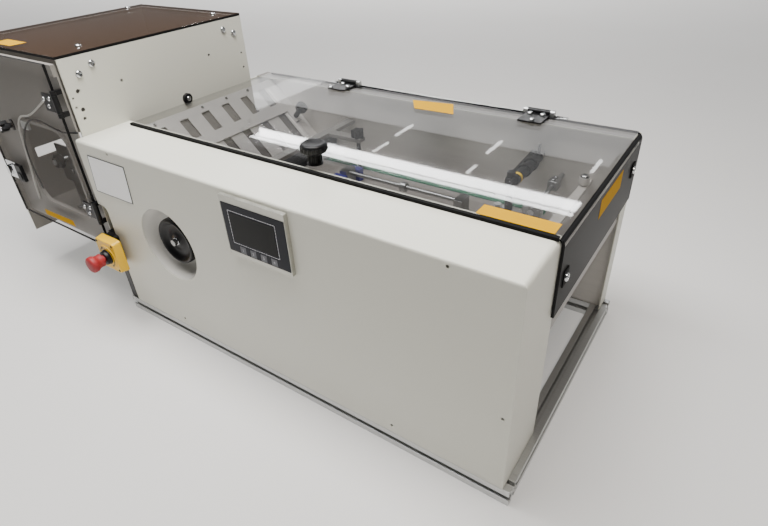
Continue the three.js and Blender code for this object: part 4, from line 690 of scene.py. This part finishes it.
# Brushed bezel: pale metal with faint streaks from side to side.
brushed_bezel, tree, shader = new_material("brushed_bezel_aluminium", Metallic=0.9)
mottle(tree, shader, "a9a8a0", "c6c5bd", grain=(25, 25, 0.714), detail=3, rough=(0.35, 0.5))

# Glass printed black behind: deep blue black, smooth, with a weak reflection.
black_glass, tree, shader = new_material("black_printed_glass", Specular_IOR_Level=0.12)
mottle(tree, shader, "14161d", "1c1f28", grain=40, detail=3, rough=(0.1, 0.2))

# A screen that is off: a neutral black, flatter than the glass round it.
screen_black, tree, shader = new_material("switched_off_screen", Roughness=0.2, Specular_IOR_Level=0.1)
mottle(tree, shader, "0c0d0d", "131414", grain=83.3)

# Printed ink: flat light grey.
light_ink, tree, shader = new_material("light_grey_ink", Roughness=0.5)
mottle(tree, shader, "b9b9bf", "d5d5da", grain=2.5)

# Silicone keys: soft dark grey without a shine.
key_grey, tree, shader = new_material("key_grey_silicone", Roughness=0.55)
mottle(tree, shader, "55565c", "6a6b70", grain=6.67, detail=3)

dress("operator_panel", brushed_bezel, 1.0)
panel_low, panel_high = extent("operator_panel")
panel_face = panel_low.y
key_middles = [middle_of(f"panel_key_{number}") for number in range(1, 5)]
key_z, window_half = key_middles[0].z, 6.3


def along_y(edge):
    """True for an edge that runs through a thin plate."""
    return abs(edge.verts[0].co.y - edge.verts[1].co.y) > 0.1


# The glass is one sheet with a window for each key: a grid of faces without the windows, then thickened.
glass_x = (panel_low.x + 2.5, panel_high.x - 1.5)
glass_z = (panel_low.z + 8, panel_high.z - 11)
glass_front, glass_thickness = panel_face - 0.5, 0.45
window_sides = [key.x + side for key in key_middles for side in (-window_half, window_half)]
columns = [glass_x[0]] + window_sides + [glass_x[1]]
rows = [glass_z[0], key_z - window_half, key_z + window_half, glass_z[1]]
bm = bmesh.new()
corners = [[bm.verts.new((x, glass_front, z)) for z in rows] for x in columns]
for i in range(len(columns) - 1):
    for j in range(len(rows) - 1):
        is_window = j == 1 and i % 2 == 1
        if not is_window:
            bm.faces.new((corners[i][j], corners[i + 1][j], corners[i + 1][j + 1], corners[i][j + 1]))
thicken(bm, (0, glass_thickness, 0))
corner_edges = [e for e in bm.edges if along_y(e) and e.calc_face_angle(0) > 1]
outline = [e for e in corner_edges if min(abs(e.verts[0].co.x - x) for x in glass_x) < 0.01]
windows = [e for e in corner_edges if e not in outline]
round_edges(bm, outline, 1.2)
round_edges(bm, windows, 0.5)
finish_piece(bm, "panel_glass", [black_glass], "machine")

screen_x, screen_z = (-444.5, -356.5), (-82, -33)
bm = bmesh.new()
block(bm, screen_x, (panel_face - 0.75, panel_face - 0.52), screen_z)
finish_piece(bm, "panel_screen", [screen_black], "machine")

# The printed line round the screen, in short dashes with open gaps.
line_x = (screen_x[0] - 2.5, screen_x[1] + 2.5)
line_z = (screen_z[0] - 3, screen_z[1] + 3)
line_y, line_half = (panel_face - 0.62, glass_front), 0.5
bm = bmesh.new()
for level in line_z:
    for i in range(20):
        start = line_x[0] + i * 4.65
        block(bm, (start, start + 3.7), line_y, (level - line_half, level + line_half))
for side in line_x:
    for i in range(11):
        start = line_z[0] + i * 5.1
        block(bm, (side - line_half, side + line_half), line_y, (start, start + 4.1))
finish_piece(bm, "panel_screen_line", [light_ink], "machine")


def shape_of(curve):
    """A text's or a curve's shape as a bmesh."""
    holder = bpy.data.objects.new(curve.name, curve)
    bpy.context.scene.collection.objects.link(holder)
    bpy.context.view_layer.update()
    mesh = bpy.data.meshes.new_from_object(holder)
    bpy.data.objects.remove(holder)
    bm = bmesh.new()
    bm.from_mesh(mesh)
    bmesh.ops.remove_doubles(bm, verts=bm.verts, dist=1e-3)
    return bm


for number, middle in enumerate(key_middles, 1):
    dress(f"panel_key_{number}", key_grey, 0.6)
    legend = bpy.data.curves.new(f"key_legend_{number}", "FONT")
    legend.body = str(number)
    legend.size = 6.5
    legend.align_x = "CENTER"
    legend.align_y = "CENTER"
    legend.extrude = 0.06
    bm = shape_of(legend)
    place = Matrix.Translation((middle.x, panel_face - 0.9, key_z))
    bmesh.ops.transform(bm, matrix=place @ turn_to["-y"], verts=bm.verts)
    finish_piece(bm, f"key_legend_{number}", [light_ink], f"key_{number}")


# Emergency stop
# A yellow control box on a black post: a moulded lid on a base, four corner screws, a black collar and a red
# mushroom head with a waisted neck. Two raised arrows show the way to release it.

# Yellow ABS: a strong signal colour with a faint moulded grain.
signal_yellow, tree, shader = new_material("signal_yellow_abs", Roughness=0.38)
where, _ = mottle(tree, shader, "eab60a", "f4c41c", grain=22.2, detail=3)
raise_grain(tree, shader, where, 0.667, 0.08, mould_depth, detail=1)

# Red nylon: a dark, dull red.
stop_red, tree, shader = new_material("stop_red_nylon", Roughness=0.55)
mottle(tree, shader, "8d1a1f", "9d2428", grain=18.2, detail=3)

# Olive ink: flat and dark against the yellow.
arrow_ink, tree, shader = new_material("dark_olive_ink", Roughness=0.6)
mottle(tree, shader, "5a4a12", "6d5a18", grain=3.33)

head = middle_of("estop_button")
head_axis = (head.x, 0, head.z)
box_low, box_high = extent("estop_box")
box_x, box_z = (box_low.x, box_high.x), (box_low.z, box_high.z + 4)
base_end, base_back, lid_back, lid_front = -804, -1, -14.4, -31.5
bm = bmesh.new()
block(bm, (box_x[0] + 3, base_end), (lid_back, base_back), (box_z[0] + 4, box_z[1] - 4))
round_edges(bm, [e for e in bm.edges if along_y(e)], 4, 3)
finish_piece(bm, "estop_box_base", [black_nylon], "machine", edge=0.5)
bm = bmesh.new()
block(bm, (box_x[0] + 0.4, box_x[1] - 0.4), (lid_front, lid_back), (box_z[0] + 0.4, box_z[1] - 0.4))
front = [v for v in bm.verts if v.co.y < lid_front + 1]
bmesh.ops.scale(bm, vec=(0.94, 1, 0.94), space=Matrix.Translation((-head.x, 0, -head.z)), verts=front)
round_edges(bm, [e for e in bm.edges if along_y(e)], 6, 4)
finish_piece(bm, "estop_box_lid", [signal_yellow], "machine", ["estop_box"], edge=1.4)
bm = bmesh.new()
turned(bm, [(0, -31.0), (25, -31.0), (24.2, -32.9), (0, -32.9)], head_axis, "y", 64)
finish_piece(bm, "estop_boss", [signal_yellow], "machine", smooth=30)

# Raised arrows round the boss, in a darker tone: a swept band with a three-cornered tip.
boss_front = -32.8
band, sweep, back_turn, tip_half, tip_length, arrow_height = (19.2, 21.4), 1.9, 0.9, 3, 5, 0.35
bm = bmesh.new()
for turn in (0, math.pi):
    start = [bm.verts.new((radius, 0, 0)) for radius in band]
    edge = bm.edges.new(start)
    swept = bmesh.ops.spin(bm, geom=start + [edge], axis=(0, 1, 0), cent=(0, 0, 0), steps=18, angle=sweep)
    tail = [v for v in swept["geom_last"] if isinstance(v, bmesh.types.BMVert)]
    mid = (tail[0].co + tail[1].co) / 2
    side = (tail[1].co - tail[0].co).normalized()
    ahead = Vector((mid.z, 0, -mid.x)).normalized()
    bm.faces.new([bm.verts.new(mid + way) for way in (side * tip_half, ahead * tip_length, -side * tip_half)])
    arrow = [v for v in bm.verts if not v.tag]
    bmesh.ops.rotate(bm, cent=(0, 0, 0), matrix=Matrix.Rotation(turn - back_turn, 3, "Y"), verts=arrow)
    for v in arrow:
        v.tag = True
thicken(bm, (0, -arrow_height, 0))
bmesh.ops.translate(bm, vec=(head.x, boss_front, head.z), verts=bm.verts)
finish_piece(bm, "estop_arrows", [arrow_ink], "machine")

collar = [(7.3, boss_front), (15.4, boss_front), (15.4, -34.5), (14.2, -35.4), (14.0, -40.2), (13.4, -41.0),
          (7.3, -41.0), (7.3, boss_front)]
bm = bmesh.new()
turned(bm, collar, head_axis, "y", 48)
finish_piece(bm, "estop_collar", [black_nylon], "machine")

bm = bmesh.new()
for x in (box_x[0] + 7.5, box_x[1] - 7.5):
    for z in (box_z[0] + 7.5, box_z[1] - 7.5):
        pan_screw(bm, (x, lid_front + 0.1, z), "-y", 2.6, 1.0)
finish_piece(bm, "estop_box_screws", [black_nylon], "machine")

# The head from its stem inside the collar, over the waisted neck, to the domed front.
head_profile = [
    (0, -24.0), (7.0, -24.0), (7.0, -45.4), (12.6, -45.4), (13.0, -46.6), (12.4, -51.0),
    (12.6, -54.5), (14.0, -57.4), (15.2, -59.4), (16.0, -61.2), (16.0, -66.4), (15.2, -68.8),
    (13.0, -70.4), (7.0, -71.3), (0, -71.5),
]
bm = bmesh.new()
turned(bm, head_profile, head_axis, "y", 72)
finish_piece(bm, "estop_head", [stop_red], "emergency_button", ["estop_button"], smooth=50)
dress("estop_post", black_nylon, 0.8)


# Lid
# One sheet of smoke tinted acrylic, 4 mm thick, bent down at the infeed end and sawn to size. The front edge
# wears a rubber trim, two clamps with plated screws sit on the flap, and the flap is darkened as painted
# shade.

# Smoked acrylic: clear reflections on its top skin, and a thin neutral tint in the sheet.
smoked_acrylic, tree, shader = new_material("smoked_acrylic", Roughness=0.03, Specular_IOR_Level=1.0,
                                            Coat_Weight=1.0, Coat_Roughness=0.02, IOR=1.49, Alpha=0.2)
mottle(tree, shader, "1b1b1c", "262627", grain=200)

# Sawn edge: matt, looks black. Its saw marks are 3 mm apart, coarser than real ones, so that they show.
saw_mark = 2.99
sawn_edge, tree, shader = new_material("sawn_acrylic_edge", Roughness=0.6, Specular_IOR_Level=0.2)
where = add_node(tree, "TexCoord").outputs["Object"]
sawing = {"Vector": where, "Scale": 1000 * band_spacing / saw_mark, "Distortion": 0.6, "Detail": 2}
marks = add_node(tree, "TexWave", sawing, bands_direction="X")
ends = {"Factor": marks.outputs["Fac"], "A": linear("0c0c0d"), "B": linear("1e1e20")}
blend = add_node(tree, "Mix", ends, data_type="RGBA")
tree.links.new(blend.outputs["Result"], shader.inputs["Base Color"])

# Flap: the smoked acrylic made nearly opaque and dark as painted shade, and without a reflection of the
# floor.
flap_in_painted_shade, tree, shader = new_material("flap_sheet_painted_shade", Roughness=0.3, Specular_IOR_Level=0.01,
                                          IOR=1.49, Alpha=0.95)
mottle(tree, shader, "18181a", "222224", grain=200)

# Trim rubber: a dead matt black.
trim_rubber, tree, shader = new_material("trim_black_rubber", Roughness=0.8, Specular_IOR_Level=0.15)
mottle(tree, shader, "060606", "121212", grain=3.33)


def sawn_or_bent(normal, middle):
    """The lid's front and rear edges, and the bend over the infeed."""
    return abs(normal.y) > 0.9 or 0.5 < abs(normal.x) < 0.9


def on_flap(normal, middle):
    """The flap's outer face below the bend, which is darkened as painted shade."""
    return normal.x > 0.97 and middle.z < -10


dress("lid", smoked_acrylic, 0.5, others=[(sawn_edge, sawn_or_bent), (flap_in_painted_shade, on_flap)])
_, lid_high = extent("lid")
lid_top, flap_face = lid_high.z, lid_high.x
trim_x = (-814, -2)
bm = bmesh.new()
block(bm, trim_x, (95.5, 101.2), (lid_top, lid_top + 0.4))
block(bm, trim_x, (95.2, 97.6), (0.2, lid_top))
finish_piece(bm, "lid_front_trim", [trim_rubber], "lid")

clamp_places = ((440, -48), (122, -62))
clamp_face = 6.6
bm = bmesh.new()
for y, z in clamp_places:
    block(bm, (flap_face + 0.05, clamp_face), (y - 9, y + 9), (z - 12, z + 12))
finish_piece(bm, "flap_clamps", [trim_rubber], "lid", edge=0.5)
bm = bmesh.new()
for y, z in clamp_places:
    pan_screw(bm, (clamp_face, y, z), "x", 6.0, 3.0)
finish_piece(bm, "flap_clamp_screws", [bright_zinc], "lid")


# Lid knob and hinges
# A moulded black knob with ribs round its head and its neck stands on the lid. The lid hangs on an anodised
# bar by two moulded hinges, each with three plated screws.
knob = middle_of("lid_knob")
knob_profile = [(0, 4.6), (12.5, 4.6), (12.5, 6.2), (10.4, 7.0), (9.6, 10.0), (9.4, 16.0),
                (10.2, 19.6), (14.0, 22.4), (18.6, 24.0), (20.0, 26.2), (20.0, 33.6), (19.2, 36.0),
                (17.2, 37.4), (15.4, 37.6), (13.4, 36.6), (10.4, 35.4), (5.0, 34.8), (0, 34.6)]
bm = bmesh.new()
turned(bm, knob_profile, (knob.x, knob.y, 0), "z", 96)
finish_piece(bm, "lid_knob_finished", [black_nylon], "lid", ["lid_knob"], smooth=40)


def rib_ring(bm, count, reach, low, radius, height, sides):
    """Upright ribs evenly round the lid knob."""
    for i in range(count):
        angle = i / count * 2 * math.pi
        place = (knob.x + reach * math.cos(angle), knob.y + reach * math.sin(angle), low)
        round_bar(bm, place, radius, height, "z", sides)


bm = bmesh.new()
rib_ring(bm, 20, reach=19.9, low=26.6, radius=1.5, height=6.6, sides=10)
rib_ring(bm, 10, reach=9.7, low=8, radius=1.4, height=12, sides=8)
finish_piece(bm, "lid_knob_ribs", [black_nylon], "lid")

dress("lid_hinge_bar", anodised, 0.4)
for side in ("left", "right"):
    dress("lid_hinge_leaf_" + side, black_nylon, 0.5)
leaf_top = lid_top + 2.6
bm = bmesh.new()
for x, y in ((-605, 433), (-596, 464), (-573.5, 451), (-183, 466), (-160, 466), (-168, 436)):
    socket_screw(bm, (x, y, leaf_top), "z", 5.2, 4.2)
finish_piece(bm, "lid_hinge_screws", [bright_zinc], "lid")


# Yellow labels
# Thin vinyl labels, left bare, glued to the lid, its flap, the guard and the door. They were cut by hand, so
# some lie askew.

# Label vinyl: a deep, matt orange yellow.
label_yellow, tree, shader = new_material("label_yellow_vinyl", Roughness=0.7, Specular_IOR_Level=0.05)
mottle(tree, shader, "bd8c00", "c79700", grain=16.7, detail=3)
vinyl, glue_gap = 0.25, 0.05


def flat_label(name, corners, lift, body):
    """A thin label through its corner points, raised along one direction."""
    bm = bmesh.new()
    bm.faces.new([bm.verts.new(corner) for corner in corners])
    thicken(bm, lift)
    finish_piece(bm, name, [label_yellow], body)


guard_top = extent("top_guard")[1].z
door_front = extent("door")[0].y
for name, body, level, outline in (
    ("lid_label_front", "lid", lid_top, [(-110, 103), (-9.5, 103), (-9.5, 129), (-110, 129)]),
    ("lid_label_rear", "lid", lid_top, [(-412, 447), (-384, 407), (-304, 410), (-330, 459)]),
):
    flat_label(name, [(x, y, level + glue_gap) for x, y in outline], (0, 0, vinyl), body)
flap_outline = [(253, -17), (365, -17), (365, -47), (253, -47)]
flat_label("flap_label", [(flap_face + glue_gap, y, z) for y, z in flap_outline], (vinyl, 0, 0), "lid")
guard_outline = [(-1080, 26), (-1011, 26), (-1011, 56), (-1080, 56)]
flat_label("guard_label", [(x, y, guard_top + glue_gap) for x, y in guard_outline], (0, 0, vinyl), "machine")
door_outline = [(-1082, -203), (-968, -200), (-965, -214), (-1082, -216)]
flat_label("door_label", [(x, door_front - glue_gap, z) for x, z in door_outline], (0, -vinyl, 0), "door")


# Delivery section
# Folded and coated sheet walls round the delivery rollers, a bronze tinted acrylic guard screwed on top and
# a painted front frame with a rolled lip round its opening and ears for the door's hinges.

# Frame coat: the covers' orange peel in a warm mid grey. The same grey on the walls' inside is painted shade.
frame_paint_and_inner_shade, tree, shader = new_material("frame_coat_and_inner_shade", Roughness=0.45)
where, _ = mottle(tree, shader, "827e78", "8f8b85", grain=167)
raise_grain(tree, shader, where, orange_peel, 0.12, peel_depth)

# Bronze acrylic: a warm dark tint under a clear, polished skin.
bronze_acrylic, tree, shader = new_material("bronze_acrylic", Roughness=0.03, Specular_IOR_Level=1.0,
                                            Coat_Weight=1.0, Coat_Roughness=0.02, IOR=1.49, Alpha=0.5)
mottle(tree, shader, "4d3117", "613f1f", grain=250)

sheet_front = 9.9


def hinge_ear(normal, middle):
    """The ears and pins in front of the frame's sheet, at its right edge."""
    return middle.y < sheet_front and middle.x > -872 and middle.z < 100


def inner_face(normal, middle):
    """The walls' inside, which is darkened to the frame's grey as painted shade."""
    left = normal.x > 0.9 and middle.x < -1150
    right = normal.x < -0.9 and middle.x > -860
    rear = normal.y < -0.9 and middle.y > 300
    ground = normal.z > 0.9 and middle.z < -150
    return left or right or rear or ground


def upright(normal, middle):
    """The guard's sawn edges."""
    return abs(normal.z) < 0.5


dress("tall_front_frame", frame_paint_and_inner_shade, 0.8, others=[(black_nylon, hinge_ear)], split_y=sheet_front)
# The walls' inside takes the frame's darker grey as painted shade.
for part in ("tall_right_wall", "tall_housing"):
    dress(part, powder_coat, 0.4, others=[(frame_paint_and_inner_shade, inner_face)])
dress("top_guard", bronze_acrylic, 0.4, others=[(sawn_edge, upright)])


# Door
# A sheet of smoked acrylic on two moulded black hinges, each with three plated screws. A chromed latch
# closes on a black keeper, and a quarter turn knob locks it.

# Door acrylic: a warmer and clearer smoke than the lid's.
door_acrylic, tree, shader = new_material("smoked_door_acrylic", Roughness=0.05, Specular_IOR_Level=0.2,
                                          IOR=1.49, Alpha=0.14)
mottle(tree, shader, "574f48", "625951", grain=200)

# Polished chrome: a mirror with a trace of wear.
polished_chrome, tree, shader = new_material("polished_chrome", Metallic=1.0)
mottle(tree, shader, "c9cbcd", "ecedee", grain=8.33, detail=3, rough=(0.06, 0.18))


def door_edge(normal, middle):
    """The door's sawn edges."""
    return abs(normal.y) < 0.5


dress("door", door_acrylic, 0.4, others=[(sawn_edge, door_edge)])
bm = bmesh.new()
block(bm, (-1125, -1101), (-10.5, door_front - 0.05), (-141, -104))
block(bm, (-1121, -1105), (-12.5, -10.5), (-136, -121))
finish_piece(bm, "door_latch_keeper", [black_nylon], "door", edge=0.8)
for part in ("door_hinge_leaf_upper", "door_hinge_leaf_lower", "door_knob"):
    dress(part, black_nylon, 0.5)
dress("door_latch", polished_chrome, 0.5)
bm = bmesh.new()
round_bar(bm, (-1082, -19.2, -14), 5.5, 1.2, "-y", 24)
finish_piece(bm, "door_knob_cap", [bright_zinc], "door_knob", edge=0.3)

# The clip holds the door switch's cables to the frame's sheet.
bm = bmesh.new()
block(bm, (-1046, -1020), (4.6, 9.95), (-16, 0))
finish_piece(bm, "cable_clip", [light_grey_nylon], "machine", edge=0.6)


# Screws and shaft end
# Plated screws hold the guard, the walls, the rear cover and the door's hinges. A through shaft ends on the
# right wall in a black seal.
wall_face = extent("tall_right_wall")[1].x
shaft_place = (wall_face, 249, 4)
seal = [(5.2, 0), (10.5, 0), (10.5, 4.5), (9.3, 5.6), (5.2, 5.6), (5.2, 0)]
shaft_tip = [(0, 0), (5.0, 0), (5.0, 7.6), (4.2, 8.4), (2.0, 8.4), (1.6, 7.2), (0, 7.2)]
bm = bmesh.new()
turned(bm, seal, shaft_place, "x", 40)
turned(bm, shaft_tip, shaft_place, "x", 32, 1)
finish_piece(bm, "wall_shaft_end", [black_nylon, bright_zinc], "machine")

bm = bmesh.new()
for x, y in ((-880, 81), (-888, 397), (-1172, 380), (-1172, 40)):
    socket_screw(bm, (x, y, guard_top + 0.1), "z", 6.0, 3.4)
finish_piece(bm, "guard_screws", [bright_zinc], "machine")

housing_low, housing_high = extent("tall_housing")
housing_rows = (housing_high.z - 16, (housing_low.z + housing_high.z) / 2, housing_high.z - 320)
bm = bmesh.new()
for z in housing_rows:
    for x in (housing_low.x + 16, housing_high.x - 16):
        pan_screw(bm, (x, housing_high.y, z), "y", 4.0, 1.6)
for z in housing_rows[::2]:
    for y in (40, 215, 390):
        pan_screw(bm, (housing_low.x, y, z), "-x", 4.0, 1.6)
finish_piece(bm, "housing_screws", [bright_zinc], "machine")

cover_low, cover_high = extent("rear_cover")
bm = bmesh.new()
for x in (cover_low.x + 22, (cover_low.x + cover_high.x) / 2, cover_high.x - 22):
    for z in (cover_high.z - 24, cover_low.z + 24):
        pan_screw(bm, (x, cover_high.y, z), "y", 4.0, 1.6)
finish_piece(bm, "rear_cover_screws", [bright_zinc], "machine")

bm = bmesh.new()
for y, z in ((46, 104), (73.5, 115.7), (376, 115), (403, 103.7)):
    socket_screw(bm, (wall_face + 0.05, y, z), "x", 6.5, 4.0)
finish_piece(bm, "wall_screws", [bright_zinc], "machine")

leaf_front = door_front - 2.9
bm = bmesh.new()
for z in (middle_of("door_hinge_leaf_upper").z, middle_of("door_hinge_leaf_lower").z):
    for x, up in ((-884, 5), (-872, -6), (-864, 8)):
        socket_screw(bm, (x, leaf_front, z + up), "-y", 4.0, 2.6)
finish_piece(bm, "door_hinge_screws", [bright_zinc], "door")


# Delivery rollers and guide
# Rubber covered rollers turn in a bent steel frame behind the door, and a stainless guide leads the folded
# sheets to them. A moulded knob on the upper shaft turns them by hand.
delivery_body = (74, 396)
dress("delivery_frame", ground_steel, 0.4)
for level in ("upper", "lower"):
    dress("delivery_roller_" + level, roller_rubber, 0.3, others=[(ground_steel, beyond(*delivery_body))])
dress("delivery_knob", black_nylon, 0.8)
dress("exit_guide", satin_stainless, 0.3)


# Door switch cables
# Two soft jacketed cables, one white and one black, clipped to the front frame behind the door. The black
# one crosses the frame in front of the opening's lip and goes through its sheet at the right.

# White PVC jacket: a soft off-white.
cable_white, tree, shader = new_material("white_cable_jacket", Roughness=0.5)
mottle(tree, shader, "d2d0c9", "e2e0da", grain=5)
dress("white_cable", cable_white, smooth=60, edge=0)

cable_y, behind_sheet, cable_radius = 3.8, 11, 1.7
cable_points = [(-842, 9), (-849, 10), (-866, 7), (-883, 5), (-903, 7), (-921, 9), (-943, 13),
                (-962, 15), (-981, 14), (-1000, 8), (-1020, -3), (-1040, -20), (-1058, -43),
                (-1067, -67), (-1069, -93), (-1067, -112), (-1065, -133), (-1063, -152)]
black_route = bpy.data.curves.new("black_cable_route", "CURVE")
black_route.dimensions = "3D"
black_route.bevel_depth = cable_radius
black_route.bevel_resolution = 3
black_route.use_fill_caps = True
line = black_route.splines.new("NURBS")
line.points.add(len(cable_points) - 1)
for i, (x, z) in enumerate(cable_points):
    line.points[i].co = (x, cable_y if i else behind_sheet, z, 1)
line.use_endpoint_u = True
line.order_u = 4
line.resolution_u = 6
bm = shape_of(black_route)
bmesh.ops.recalc_face_normals(bm, faces=bm.faces)
finish_piece(bm, "black_cable_finished", [sensor_black], "machine", ["black_cable"], smooth=60)
